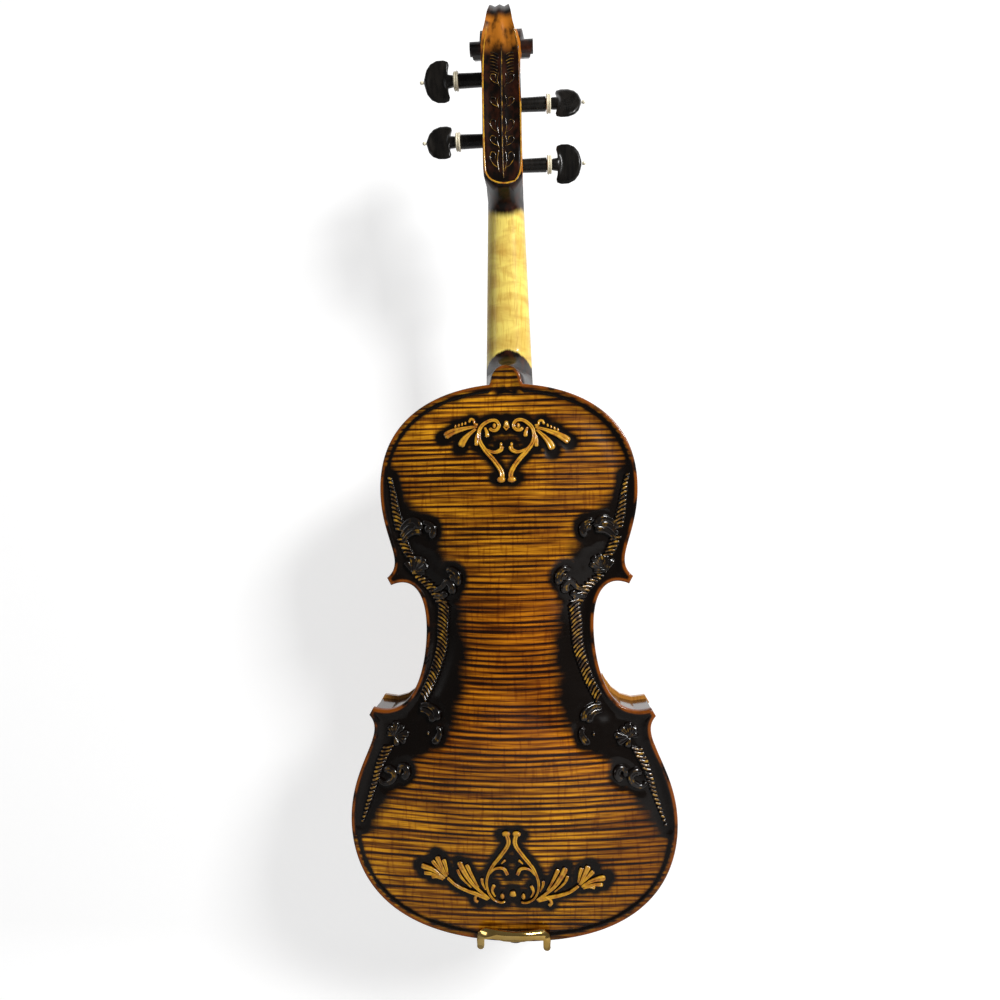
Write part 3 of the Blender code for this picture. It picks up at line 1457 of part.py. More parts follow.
def make_tailpiece():
    rings = []
    for share in (0.0, 0.05, 0.3, 0.55, 0.8, 0.95, 1.0):
        z = TAILPIECE_START + TAILPIECE_LENGTH * share
        narrow = 1.0 if 0.03 < share < 0.97 else 0.86
        half = tailpiece_half_width(z) * narrow
        low = tailpiece_level(z)
        ring = [(half, low + 0.001, z), (half, low + 0.55 * TAILPIECE_THICKNESS, z)]
        for i in range(1, 8):
            x = half * (1 - i / 4)
            ring.append((x, tailpiece_crown(x / narrow, z) - (0.0008 if narrow < 1 else 0.0), z))
        ring += [(-half, low + 0.55 * TAILPIECE_THICKNESS, z), (-half, low + 0.001, z)]
        ring += [(-0.8 * half, low, z), (0.8 * half, low, z)]
        rings.append(ring)
    tailpiece = loft("tailpiece", rings)
    for string in STRING_ORDER:
        x = string_x_at_tailpiece(string)
        z = FRET_HEIGHT - STRING_HOLE_OFFSET
        hole = turned(f"cut_string_hole_{string}", [(-0.02, STRING_HOLE_RADIUS), (0.02, STRING_HOLE_RADIUS)], 12, "Y")
        hole.location = (x, tailpiece_level(z), z)
        boolean(tailpiece, hole)
    for side in (-1, 1):
        profile = [(-0.012, TAILGUT_RADIUS + SEAM), (0.012, TAILGUT_RADIUS + SEAM)]
        hole = turned(f"cut_tailgut_hole_{'left' if side < 0 else 'right'}", profile, 12, "Z")
        hole.location = (side * TAILGUT_SPREAD / 2, tailgut_level(), TAILPIECE_START)
        boolean(tailpiece, hole)
    return finish(tailpiece, "ebony")


STRING_HOLE_OFFSET = 0.006
STRING_HOLE_RADIUS = 0.0017


def tailgut_level():
    return tailpiece_level(TAILPIECE_START) + 0.5 * TAILPIECE_THICKNESS


def string_x_at_tailpiece(string):
    place = STRING_ORDER.index(string)
    return blend(-0.0145, 0.0145, place / 3)


def make_tube(name, route, radius, resolution, material):
    """A tube along points, with flat ends."""
    data = bpy.data.curves.new(name, "CURVE")
    data.dimensions = "3D"
    data.bevel_depth = radius
    data.bevel_resolution = resolution
    data.use_fill_caps = True
    data.twist_mode = "MINIMUM"
    spline = data.splines.new("POLY")
    spline.points.add(len(route) - 1)
    for spot, point in zip(spline.points, route):
        spot.co = (*point, 1.0)
    obj = bpy.data.objects.new(name, data)
    bpy.context.scene.collection.objects.link(obj)
    return finish(obj, material)


def rounded_route(corners, radius, steps=4):
    """Points along straight runs, with an arc-like bend of the given length at each corner."""
    points = [Vector(corners[0])]
    for before, corner, after in zip(corners, corners[1:], corners[2:]):
        before, corner, after = Vector(before), Vector(corner), Vector(after)
        reach_in = min(radius, 0.45 * (corner - before).length)
        reach_out = min(radius, 0.45 * (after - corner).length)
        start = corner + (before - corner).normalized() * reach_in
        end = corner + (after - corner).normalized() * reach_out
        for i in range(steps + 1):
            t = i / steps
            points.append((1 - t) ** 2 * start + 2 * (1 - t) * t * corner + t * t * end)
    points.append(Vector(corners[-1]))
    return points


def make_tailgut():
    """The cord that loops round the end button, over the saddle and into the tailpiece."""
    gap = SEAM + TAILGUT_RADIUS
    level = tailgut_level()
    over_saddle = TOP_OUTSIDE + SADDLE_RISE + gap + 0.0004
    loop = BUTTON_GROOVE_RADIUS + gap
    x = TAILGUT_SPREAD / 2
    outside = -gap - 0.0004
    right = [
        (x, level, TAILPIECE_START + 0.010),
        (x, level, TAILPIECE_START - 0.0028),
        (x, over_saddle, 0.55 * SADDLE_DEPTH),
        (x, over_saddle, 0.0009),
        (x, TOP_OUTSIDE + 0.5 * SADDLE_RISE, outside),
        (x, TOP_OUTSIDE - 0.8 * EDGE_THICKNESS, outside),
        (loop, BUTTON_LEVEL + 0.006, groove_height()),
    ]
    half = rounded_route(right, 0.0022, 3)[:-1]
    wrap = []
    for i in range(9):
        angle = math.pi * i / 8
        wrap.append(Vector((loop * math.cos(angle), BUTTON_LEVEL - loop * math.sin(angle), groove_height())))
    left = [Vector((-p.x, p.y, p.z)) for p in half[::-1]]
    return make_tube("tailgut", half + wrap + left, TAILGUT_RADIUS, 2, "nylon")


# Strings
def string_x(string, spread):
    return blend(-spread / 2, spread / 2, STRING_ORDER.index(string) / 3)


def winding(string):
    """The turns on the peg, from the point where the string first touches it, and their least gap."""
    radius = STRING_RADIUS[string]
    side = PEG_SIDE[string]
    y, z = peg_place(string)
    pitch = 2 * radius + WINDING_GAP
    start_x = side * WINDING_START[string]
    coil = peg_radius(WINDING_START[string] + pitch * WINDING_TURNS) + PEG_CLEARANCE + radius
    nut_y = board_top(0.0, NUT_HEIGHT)
    run = z - NUT_HEIGHT - NUT_LENGTH
    contact = math.atan2(nut_y - y, run) + math.acos(coil / math.hypot(nut_y - y, run))
    steps = 9 * WINDING_TURNS
    points = []
    for i in range(steps + 1):
        turn = i / 9
        angle = contact + 2 * math.pi * turn
        x = start_x + side * pitch * turn
        points.append(Vector((x, y + coil * math.sin(angle), z - coil * math.cos(angle))))
    return points


def string_route(string):
    radius = STRING_RADIUS[string]
    clear = SEAM + radius
    bridge_x = string_x(string, STRING_SPREAD_AT_BRIDGE)
    nut_x = string_x(string, STRING_SPREAD_AT_NUT)
    tail_x = string_x_at_tailpiece(string)
    fret_y = tailpiece_crown(tail_x, FRET_HEIGHT) + clear + 0.0006
    hole_z = FRET_HEIGHT - STRING_HOLE_OFFSET
    coil = winding(string)
    if string == "e":
        start = [(tail_x, tuner_hook_level(), FRET_HEIGHT + 0.0004), (tail_x, tuner_hook_level(), FRET_HEIGHT + 0.003)]
    else:
        start = [(tail_x, tailpiece_level(hole_z) + 0.001, hole_z), (tail_x, fret_y - 0.0008, hole_z + 0.0002)]
        start += [(tail_x, fret_y, FRET_HEIGHT)]
    nut_top = board_top(nut_x, NUT_HEIGHT) + NUT_LIFT + clear
    corners = start + [
        (bridge_x, bridge_top(bridge_x) + clear + BRIDGE_STRING_LIFT, BRIDGE_Z - 0.8 * BRIDGE_TOP_THICKNESS),
        (nut_x, nut_top, NUT_HEIGHT + 0.2 * NUT_LENGTH),
        (nut_x * 0.97, nut_top - 0.0013, NUT_HEIGHT + NUT_LENGTH * 0.95),
        tuple(coil[0]),
    ]
    route = rounded_route(corners, 0.0016, 3)
    return route[:-1] + coil


def least_gap(points, radius):
    """The least free gap between a winding's turns, measured on its points."""
    best = 1e9
    for i, a in enumerate(points):
        for b in points[i + 6 :]:
            best = min(best, (a - b).length - 2 * radius)
    return best


def make_strings():
    for string in STRING_ORDER:
        make_tube(f"string_{string}", string_route(string), STRING_RADIUS[string], 1, "steel")
        gap = least_gap(winding(string), STRING_RADIUS[string])
        print(f"least gap between the turns of string {string}: {gap * 1000:.2f} mm")


# Fine tuner
def tuner_hook_level():
    return tailpiece_crown(string_x_at_tailpiece("e"), FRET_HEIGHT) + TUNER_HEIGHT + 0.0016


def make_fine_tuner():
    """The fine tuner over the E string's slot: its bracket, the hooked lever and the screw."""
    x = string_x_at_tailpiece("e")
    top = FRET_HEIGHT - 0.001
    low = top - TUNER_LENGTH
    deck = max(tailpiece_crown(x + TUNER_WIDTH / 2, top), tailpiece_crown(x + TUNER_WIDTH / 2, low)) + SEAM + 0.0002
    half = TUNER_WIDTH / 2
    roof = deck + TUNER_HEIGHT
    wall = 0.0012
    profile = [
        (low, deck),
        (low + wall, deck),
        (low + wall, roof - wall),
        (top - wall, roof - wall),
        (top - wall, deck),
        (top, deck),
        (top, roof),
        (low, roof),
    ]
    bracket = loft("tuner_bracket", [[(x + half, y, z) for z, y in profile], [(x - half, y, z) for z, y in profile]])
    hole_z = low + 0.3 * TUNER_LENGTH
    bore = turned("cut_tuner_thread", [(-0.01, TUNER_SCREW_RADIUS + SEAM), (0.01, TUNER_SCREW_RADIUS + SEAM)], 12, "Y")
    bore.location = (x, roof, hole_z)
    boolean(bracket, bore)
    slot_z = low + 0.72 * TUNER_LENGTH
    slot = prism(
        "cut_tuner_slot",
        [(x - 0.0013, slot_z - 0.002), (x + 0.0013, slot_z - 0.002), (x + 0.0013, slot_z + 0.002), (x - 0.0013, slot_z + 0.002)],
        roof - 3 * wall,
        roof + 0.01,
    )
    boolean(bracket, slot)
    finish(bracket, "gold")
    screw_profile = [
        (-TUNER_SCREW_REACH, TUNER_SCREW_RADIUS * 0.7),
        (0.0004 - TUNER_SCREW_REACH, TUNER_SCREW_RADIUS),
        (SEAM, TUNER_SCREW_RADIUS),
        (SEAM, TUNER_HEAD_RADIUS * 0.8),
        (SEAM + 0.2 * TUNER_HEAD_HEIGHT, TUNER_HEAD_RADIUS),
        (SEAM + 0.85 * TUNER_HEAD_HEIGHT, TUNER_HEAD_RADIUS),
        (SEAM + TUNER_HEAD_HEIGHT, TUNER_HEAD_RADIUS * 0.8),
    ]
    screw = turned("tuner_screw", screw_profile, 16, "Y")
    screw.location = (x, roof + TUNER_SCREW_LIFT, hole_z)
    finish(screw, "gold")
    pivot = Vector((x, roof - 2.1 * wall, slot_z))
    arm = 0.0010
    lever_half = 0.0009
    under = deck + 0.0003
    screw_foot = roof + TUNER_SCREW_LIFT - TUNER_SCREW_REACH - SEAM
    lever_outline = [
        (low + wall + 0.0006, screw_foot - arm),
        (slot_z + lever_half, screw_foot - arm),
        (slot_z + lever_half, roof + 0.0006),
        (FRET_HEIGHT + 0.0001, roof + 0.0010),
        (FRET_HEIGHT + 0.0001, roof + 0.0018),
        (slot_z - lever_half, roof + 0.0018),
        (slot_z - lever_half, screw_foot),
        (low + wall + 0.0006, screw_foot),
    ]
    lever_outline = [(z - pivot.z, max(y, under) - pivot.y) for z, y in lever_outline]
    lever = loft("tuner_lever", [[(lever_half, y, z) for z, y in lever_outline], [(-lever_half, y, z) for z, y in lever_outline]])
    lever.location = pivot
    finish(lever, "gold")


# Bass bar and sound post
def make_bass_bar():
    rings = []
    middle = BODY_LENGTH / 2
    for share in np.linspace(-1, 1, 11):
        z = middle + share * BAR_LENGTH / 2
        height = BAR_HEIGHT * (1 - 0.82 * abs(share) ** 1.8)
        corners = [BAR_OFFSET - BAR_WIDTH / 2, BAR_OFFSET + BAR_WIDTH / 2]
        roof = [top_inner_level(x, z) - 2 * SEAM for x in corners]
        floor = min(roof) - height
        rings.append(
            [(corners[0], roof[0], z), (corners[1], roof[1], z), (corners[1], floor, z), (corners[0], floor, z)]
        )
    return finish(loft("bass_bar", rings), "bare_spruce")


def make_sound_post():
    """A round post between the plates, its ends shaped to their inner faces."""
    z = BRIDGE_Z - POST_BELOW_BRIDGE
    rings = [[], []]
    for dx, dz in ring_points(POST_DIAMETER / 2, 12):
        x = -POST_OFFSET + dx
        height = z + dz
        rings[0].append((x, back_inner_level(x, height) + 2 * SEAM, height))
        rings[1].append((x, top_inner_level(x, height) - 2 * SEAM, height))
    return finish(loft("sound_post", rings), "bare_spruce")


# Chinrest
def chinrest_outline():
    """The cup's plan with the bar that reaches over the tailpiece, in (x, z)."""
    x = CHINREST_OFFSET
    half = CHINREST_HALF_WIDTH
    reach = CHINREST_REACH
    bar = CHINREST_FOOT_OUTER
    low = CHINREST_FOOT_START
    corners = [
        Vector((-bar, low)),
        Vector((0.0, low - 0.001)),
        Vector((bar, low)),
        Vector((x + 0.75 * half, 0.30 * reach)),
        Vector((x + half, 0.62 * reach)),
        Vector((x + 0.62 * half, 0.92 * reach)),
        Vector((x, reach)),
        Vector((x - 0.72 * half, 0.90 * reach)),
        Vector((x - 0.98 * half, 0.60 * reach)),
        Vector((x - 1.25 * half, 0.36 * reach)),
        Vector((-bar * 0.6, 0.27 * reach)),
        Vector((-bar * 1.05, 0.2 * reach)),
    ]
    count = len(corners)
    loop = []
    for i in range(count):
        a, b, c, d = (corners[(i + k - 1) % count] for k in range(4))
        for t in (0.0, 1 / 3, 2 / 3):
            loop.append(
                0.5 * (2 * b + (c - a) * t + (2 * a - 5 * b + 4 * c - d) * t * t + (3 * b - a - 3 * c + d) * t**3)
            )
    return loop


def cup_surfaces(points):
    loop = chinrest_outline()
    distances = distances_to(loop, points)
    rim = TOP_OUTSIDE + CHINREST_LEVEL
    centre = np.array([CHINREST_OFFSET, 0.56 * CHINREST_REACH])
    spread = np.linalg.norm((points - centre) / [CHINREST_HALF_WIDTH * 0.86, CHINREST_REACH * 0.40], axis=1)
    dish = CHINREST_DISH * np.clip(1 - spread**2, 0, 1)
    rounding = np.where(distances < 0.0015, 0.0012, 0.0)
    top = rim - dish - rounding
    bottom = rim - CHINREST_BODY - dish * 0.75 + 1.2 * rounding
    return top, bottom


def make_chinrest():
    """The cup and its two feet, clear of the tailpiece, and the clamp that grips the body's edge."""
    cup = arched_solid("chinrest_cup", chinrest_outline(), ((0.0015, 1), (0.007, 2)), 0.012, cup_surfaces)
    rim = TOP_OUTSIDE + CHINREST_LEVEL
    for side, label in ((-1, "left"), (1, "right")):
        inner = side * CHINREST_FOOT_INNER
        outer = side * CHINREST_FOOT_OUTER
        outline = [(inner, CHINREST_FOOT_START + 0.0008), (outer, CHINREST_FOOT_START + edge_height(outer) + 0.0012)]
        outline += [(outer * 0.96, CHINREST_FOOT_END), (inner, CHINREST_FOOT_END)]
        seat = max(top_outer_level(x, z) for x, z in outline) + SEAM
        foot = prism(f"join_chinrest_foot_{label}", outline, seat, rim - 0.6 * CHINREST_BODY)
        boolean(cup, foot, "UNION")
    finish(cup, "ebony")
    make_clamp()


def clamp_height():
    """z of the two barrels' axes, just clear of the body's edge."""
    return edge_height(CLAMP_SPREAD / 2) - SEAM - BARREL_RADIUS


def clamp_plate_outline():
    """The lower bracket's plan in (x, z): a low wave over the edge with a foot at each end."""
    half = CLAMP_SPREAD / 2
    z = clamp_height()
    foot = BARREL_RADIUS + 0.0004
    right = [(0.0, 0.0074), (0.42 * half, 0.0084), (0.86 * half, 0.0101), (half + 0.0016, 0.0072)]
    right += [(half + 0.0024, 0.0028)]
    right += [(half + foot * math.cos(a), z + foot * math.sin(a)) for a in np.linspace(0.35, -math.pi, 8)]
    right += [(half - foot, 0.0030), (0.62 * half, 0.0034), (0.3 * half, 0.0020), (0.0, 0.0016)]
    left = [(-x, y) for x, y in right[1:-1]]
    return right + left[::-1]


def make_clamp():
    z = clamp_height()
    half = CLAMP_SPREAD / 2
    cork_front = -SEAM
    cork_back = cork_front - CORK_THICKNESS
    plate_front = cork_back - SEAM
    plate_back = plate_front - CLAMP_THICKNESS
    upper_level = TOP_OUTSIDE + 0.0105
    lower = prism("chinrest_lower_bracket", clamp_plate_outline(), plate_back, plate_front)
    bar_half = half + BARREL_RADIUS + 0.0004
    bar_low = z - BARREL_RADIUS - 0.0003
    bar_high = CHINREST_FOOT_START + 0.0008 - SEAM
    bar = [(-bar_half, bar_low), (bar_half, bar_low), (bar_half, bar_high), (-bar_half, bar_high)]
    upper = prism("chinrest_upper_bracket", bar, upper_level, upper_level + CLAMP_THICKNESS)
    barrel_low = plate_front + SEAM + CLAMP_TRAVEL_CLEARANCE
    barrel_high = upper_level - SEAM
    for side, label in ((-1, "left"), (1, "right")):
        low_stud = turned(
            f"join_lower_stud_{label}",
            [(plate_back + 0.0004, STUD_RADIUS), (barrel_low + STUD_ENGAGEMENT, STUD_RADIUS)],
            12,
            "Y",
        )
        low_stud.location = (side * half, 0.0, z)
        boolean(lower, low_stud, "UNION")
        high_stud = turned(
            f"join_upper_stud_{label}",
            [(barrel_high - STUD_ENGAGEMENT, STUD_RADIUS), (upper_level + 0.5 * CLAMP_THICKNESS, STUD_RADIUS)],
            12,
            "Y",
        )
        high_stud.location = (side * half, 0.0, z)
        boolean(upper, high_stud, "UNION")
        profile = [(barrel_low, BARREL_BORE), (barrel_high, BARREL_BORE), (barrel_high, BARREL_RADIUS), (barrel_low, BARREL_RADIUS)]
        barrel = turned_ring(f"chinrest_barrel_{label}", profile, 16, "Y")
        barrel.location = (side * half, 0.0, z)
        finish(barrel, "gold")
    finish(lower, "gold")
    finish(upper, "gold")
    pad = [(x * 0.78, zz) for x, zz in ((0.0, 0.0068), (0.018, 0.0082), (0.021, 0.0044), (0.0, 0.0024))]
    pad += [(-x, zz) for x, zz in pad[1:-1][::-1]]
    finish(prism("chinrest_cork", pad, cork_back, cork_front), "cork")


CLAMP_TRAVEL_CLEARANCE = 0.0


PEG_TURNS = {"a": -0.25, "d": -0.42, "e": 0.25, "g": 0.10}
HEEL_CUTTER = loft(
    "cut_heel_mortise",
    [neck_section(z, SEAM) for z in (ROOT_START - SEAM, BODY_LENGTH - OVERHANG, BODY_LENGTH + 0.002)],
)

make_plates()
make_ribs()
make_blocks_and_linings()
make_neck()
make_fingerboard()
make_nut()
for name in STRING_ORDER:
    make_peg(name, PEG_TURNS[name])
    make_collar(name)
    make_pip(name)
make_bridge()
make_saddle()
make_end_button()
make_tailpiece()
make_tailgut()
make_strings()
make_fine_tuner()
make_bass_bar()
make_sound_post()
make_chinrest()
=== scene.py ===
"""Looks for the carved violin: its varnish, carving, fittings, camera and light.

Lengths are in metres. The body's own frame has z from the body's bottom edge, y from the outer face
of the back's edge and x to the bass side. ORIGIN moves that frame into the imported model's frame.
"""

from __future__ import annotations

import json
import logging
import math
from dataclasses import dataclass, field
from enum import Enum

import bmesh
import bpy
import numpy as np
from mathutils import Matrix, Vector
from mathutils.bvhtree import BVHTree
from mathutils.geometry import delaunay_2d_cdt

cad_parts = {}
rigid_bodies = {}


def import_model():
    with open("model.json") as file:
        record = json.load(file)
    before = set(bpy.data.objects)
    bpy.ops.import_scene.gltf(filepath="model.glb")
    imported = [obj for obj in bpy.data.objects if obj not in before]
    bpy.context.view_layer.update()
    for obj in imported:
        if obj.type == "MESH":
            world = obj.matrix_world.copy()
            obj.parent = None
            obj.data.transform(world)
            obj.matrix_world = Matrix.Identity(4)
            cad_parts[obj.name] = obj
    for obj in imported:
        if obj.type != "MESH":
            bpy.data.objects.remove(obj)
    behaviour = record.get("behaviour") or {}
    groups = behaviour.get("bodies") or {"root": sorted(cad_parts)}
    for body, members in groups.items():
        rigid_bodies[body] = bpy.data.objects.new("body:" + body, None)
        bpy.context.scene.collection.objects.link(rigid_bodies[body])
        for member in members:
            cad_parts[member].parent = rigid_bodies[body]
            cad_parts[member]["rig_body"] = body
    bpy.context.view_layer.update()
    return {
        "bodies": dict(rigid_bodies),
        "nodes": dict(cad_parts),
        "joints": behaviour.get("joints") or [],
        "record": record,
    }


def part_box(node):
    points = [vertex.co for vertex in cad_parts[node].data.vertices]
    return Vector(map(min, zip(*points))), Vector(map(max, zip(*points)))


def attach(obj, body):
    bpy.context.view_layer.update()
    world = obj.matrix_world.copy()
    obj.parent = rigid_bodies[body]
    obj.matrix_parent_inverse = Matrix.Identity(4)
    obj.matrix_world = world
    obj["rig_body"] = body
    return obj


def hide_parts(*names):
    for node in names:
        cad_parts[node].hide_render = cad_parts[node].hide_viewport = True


LOG = logging.getLogger("violin")
ROOT = "violin"
ORIGIN = np.array([0.0, -0.02566, -0.472])
MM = 0.001

# Body outline and plate, as in the construction
BODY_LENGTH = 0.356
LOWER_BOUT = (0.1043, 0.0762)
WAIST = (0.0535, 0.2002)
UPPER_BOUT = (0.0825, 0.2891)
LOWER_CORNER = (0.09175, 0.1437)
UPPER_CORNER = (0.0788, 0.2323)
CORNER_TIP = 0.0055
BUTTON_RADIUS = 0.00975
BUTTON_TOP = 0.368
BACK_INSIDE = 0.0042
CHANNEL_INSET = 0.0065
CHANNEL_DEPTH = 0.0008
EDGE_ROUND = 0.0011
BACK_ARCH = 0.015
PLATE_THICKNESS = 0.0028

# The photograph's camera: its place, its axes and its focal length in pixels
CAMERA_PLACE = np.array([0.02765, -0.47798, 0.27940])
CAMERA_RIGHT = np.array([0.99759, 0.06784, -0.01446])
CAMERA_DOWN = np.array([-0.01472, 0.00338, -0.99989])
CAMERA_FORWARD = np.array([-0.06779, 0.99769, 0.00437])
FOCAL_PIXELS = 750.0
IMAGE_CENTRE = 500.0
SENSOR = 36.0
LENS = FOCAL_PIXELS * SENSOR / 1000.0

# Metres on the plate and on the head for one pixel of the photograph
PIXEL_ON_PLATE = 0.000745
PIXEL_ON_HEAD = 0.00065

# Points round a carved stroke's section
SECTION = 13

Points = list[tuple[float, float]]


class Gilding(Enum):
    """How much amber shows on a carved stroke's crest."""

    MOTIF = 1.0
    SIDE = 0.20


@dataclass(frozen=True)
class Finish:
    """A plain finish: its colour, gloss and the noise that breaks it up."""

    name: str
    colour: tuple[float, float, float]
    worn: tuple[float, float, float]
    roughness: float
    metallic: float = 0.0
    coat: float = 0.0
    grain: tuple[float, float, float] = (300.0, 300.0, 30.0)
    bump: float = 0.05
    specular: float = 0.5

    def material(self) -> bpy.types.Material:
        """Builds the finish as nodes.

        Returns:
            A material whose colour runs between the two colours along stretched noise.
        """
        nodes = NodeTree(self.name)
        noise = nodes.noise(nodes.mapped(self.grain), detail=4.0)
        colour = nodes.ramp(noise, [(0.35, self.colour), (0.75, self.worn)])
        nodes.link(colour, nodes.shader.inputs["Base Color"])
        nodes.shader.inputs["Metallic"].default_value = self.metallic
        nodes.shader.inputs["Specular IOR Level"].default_value = self.specular
        nodes.shader.inputs["Coat Weight"].default_value = self.coat
        nodes.shader.inputs["Coat Roughness"].default_value = 0.06
        rough = nodes.ranged(noise, self.roughness * 0.85, self.roughness * 1.25)
        nodes.link(rough, nodes.shader.inputs["Roughness"])
        nodes.bump(noise, self.bump, 0.0002)
        return nodes.material


class NodeTree:
    """Short calls for the nodes that the finishes share."""

    def __init__(self, name: str) -> None:
        """Starts a material with its shader and Object coordinates.

        Args:
            name: The material's name.
        """
        self.material = bpy.data.materials.new(name)
        self.material.use_nodes = True
        self.tree = self.material.node_tree
        self.shader = self.tree.nodes["Principled BSDF"]
        self.coordinates = self.tree.nodes.new("ShaderNodeTexCoord").outputs["Object"]

    def link(self, output: bpy.types.NodeSocket, target: bpy.types.NodeSocket) -> None:
        """Joins two sockets."""
        self.tree.links.new(output, target)

    def mapped(
        self,
        scale: tuple[float, float, float],
        turn: tuple[float, float, float] = (0.0, 0.0, 0.0),
    ) -> bpy.types.NodeSocket:
        """Object coordinates, turned and stretched.

        Args:
            scale: Features per metre along each axis.
            turn: Rotation in radians.

        Returns:
            The mapped vector.
        """
        node = self.tree.nodes.new("ShaderNodeMapping")
        node.inputs["Scale"].default_value = scale
        node.inputs["Rotation"].default_value = turn
        self.link(self.coordinates, node.inputs["Vector"])
        return node.outputs["Vector"]

    def noise(
        self, vector: bpy.types.NodeSocket, detail: float = 3.0, distortion: float = 0.0
    ) -> bpy.types.NodeSocket:
        """Noise with one feature per unit.

        Args:
            vector: Where it is read.
            detail: Its octaves.
            distortion: How far it is bent.

        Returns:
            Its factor.
        """
        node = self.tree.nodes.new("ShaderNodeTexNoise")
        node.inputs["Scale"].default_value = 1.0
        node.inputs["Detail"].default_value = detail
        node.inputs["Distortion"].default_value = distortion
        self.link(vector, node.inputs["Vector"])
        return node.outputs["Fac"]

    def waves(
        self, vector: bpy.types.NodeSocket, distortion: float, detail: float, detail_scale: float
    ) -> bpy.types.NodeSocket:
        """Bands across the vector's z, bent by noise.

        Args:
            vector: Where they are read.
            distortion: How far they are bent.
            detail: The noise's octaves.
            detail_scale: The noise's scale.

        Returns:
            Their factor.
        """
        node = self.tree.nodes.new("ShaderNodeTexWave")
        node.bands_direction = "Z"
        node.inputs["Scale"].default_value = 1.0
        node.inputs["Distortion"].default_value = distortion
        node.inputs["Detail"].default_value = detail
        node.inputs["Detail Scale"].default_value = detail_scale
        self.link(vector, node.inputs["Vector"])
        return node.outputs["Fac"]

    def ramp(
        self, factor: bpy.types.NodeSocket, stops: list[tuple[float, tuple[float, float, float]]]
    ) -> bpy.types.NodeSocket:
        """A colour ramp.

        Args:
            factor: What it reads.
            stops: Its places and colours.

        Returns:
            The colour.
        """
        node = self.tree.nodes.new("ShaderNodeValToRGB")
        ramp = node.color_ramp
        while len(ramp.elements) < len(stops):
            ramp.elements.new(0.5)
        for element, (place, colour) in zip(ramp.elements, stops):
            element.position = place
            element.color = (*colour, 1.0)
        self.link(factor, node.inputs["Fac"])
        return node.outputs["Color"]

    def ranged(self, factor: bpy.types.NodeSocket, low: float, high: float) -> bpy.types.NodeSocket:
        """Stretches a factor from 0..1 to low..high.

        Args:
            factor: What it reads.
            low: The result at 0.
            high: The result at 1.

        Returns:
            The new value.
        """
        node = self.tree.nodes.new("ShaderNodeMapRange")
        node.inputs["To Min"].default_value = low
        node.inputs["To Max"].default_value = high
        self.link(factor, node.inputs["Value"])
        return node.outputs["Result"]

    def stepped(self, value: bpy.types.NodeSocket, start: float, end: float) -> bpy.types.NodeSocket:
        """A smooth step from 0 at start to 1 at end.

        Args:
            value: What it reads.
            start: Where it begins.
            end: Where it ends.

        Returns:
            The step.
        """
        node = self.tree.nodes.new("ShaderNodeMapRange")
        node.interpolation_type = "SMOOTHSTEP"
        node.inputs["From Min"].default_value = start
        node.inputs["From Max"].default_value = end
        self.link(value, node.inputs["Value"])
        return node.outputs["Result"]

    def band(
        self, value: bpy.types.NodeSocket, rise: tuple[float, float], fall: tuple[float, float]
    ) -> bpy.types.NodeSocket:
        """One step up less a later one, so 1 between them.

        Args:
            value: What it reads.
            rise: Where the first step begins and ends.
            fall: Where the second begins and ends.

        Returns:
            The band.
        """
        return self.maths("SUBTRACT", self.stepped(value, *rise), self.stepped(value, *fall))

    def maths(
        self, operation: str, first: bpy.types.NodeSocket | float, second: bpy.types.NodeSocket | float
    ) -> bpy.types.NodeSocket:
        """One sum of two values.

        Args:
            operation: Blender's name for it.
            first: A socket or a number.
            second: A socket or a number.

        Returns:
            The result.
        """
        node = self.tree.nodes.new("ShaderNodeMath")
        node.operation = operation
        for slot, value in zip(node.inputs, (first, second)):
            if isinstance(value, (int, float)):
                slot.default_value = value
            else:
                self.link(value, slot)
        return node.outputs["Value"]

    def mixed(
        self,
        factor: bpy.types.NodeSocket | float,
        first: bpy.types.NodeSocket | tuple[float, float, float],
        second: bpy.types.NodeSocket | tuple[float, float, float],
        blend: str = "MIX",
    ) -> bpy.types.NodeSocket:
        """Mixes two colours.

        Args:
            factor: The second colour's share, a socket or a number.
            first: A socket or a colour.
            second: A socket or a colour.
            blend: Blender's name for the blend.

        Returns:
            The mix.
        """
        node = self.tree.nodes.new("ShaderNodeMix")
        node.data_type = "RGBA"
        node.blend_type = blend
        if isinstance(factor, float):
            node.inputs[0].default_value = factor
        else:
            self.link(factor, node.inputs[0])
        for slot, value in ((node.inputs[6], first), (node.inputs[7], second)):
            if isinstance(value, tuple):
                slot.default_value = (*value, 1.0)
            else:
                self.link(value, slot)
        return node.outputs[2]

    def attribute(self, name: str) -> bpy.types.NodeSocket:
        """A vertex attribute's value."""
        node = self.tree.nodes.new("ShaderNodeAttribute")
        node.attribute_name = name
        return node.outputs["Fac"]

    def axis(self, letter: str) -> bpy.types.NodeSocket:
        """One of the Object coordinates, X, Y or Z."""
        node = self.tree.nodes.new("ShaderNodeSeparateXYZ")
        self.link(self.coordinates, node.inputs["Vector"])
        return node.outputs[letter]

    def bump(self, height: bpy.types.NodeSocket, strength: float, distance: float) -> None:
        """Gives the shader a bump.

        Args:
            height: The bump's height.
            strength: Its share.
            distance: Its depth in metres.
        """
        node = self.tree.nodes.new("ShaderNodeBump")
        node.inputs["Strength"].default_value = strength
        node.inputs["Distance"].default_value = distance
        self.link(height, node.inputs["Height"])
        self.link(node.outputs["Normal"], self.shader.inputs["Normal"])


BLACK_VARNISH = (0.0035, 0.0018, 0.001)

# How far the head stands to the left of the photograph's, in pixels
HEAD_SHIFT = 3.6

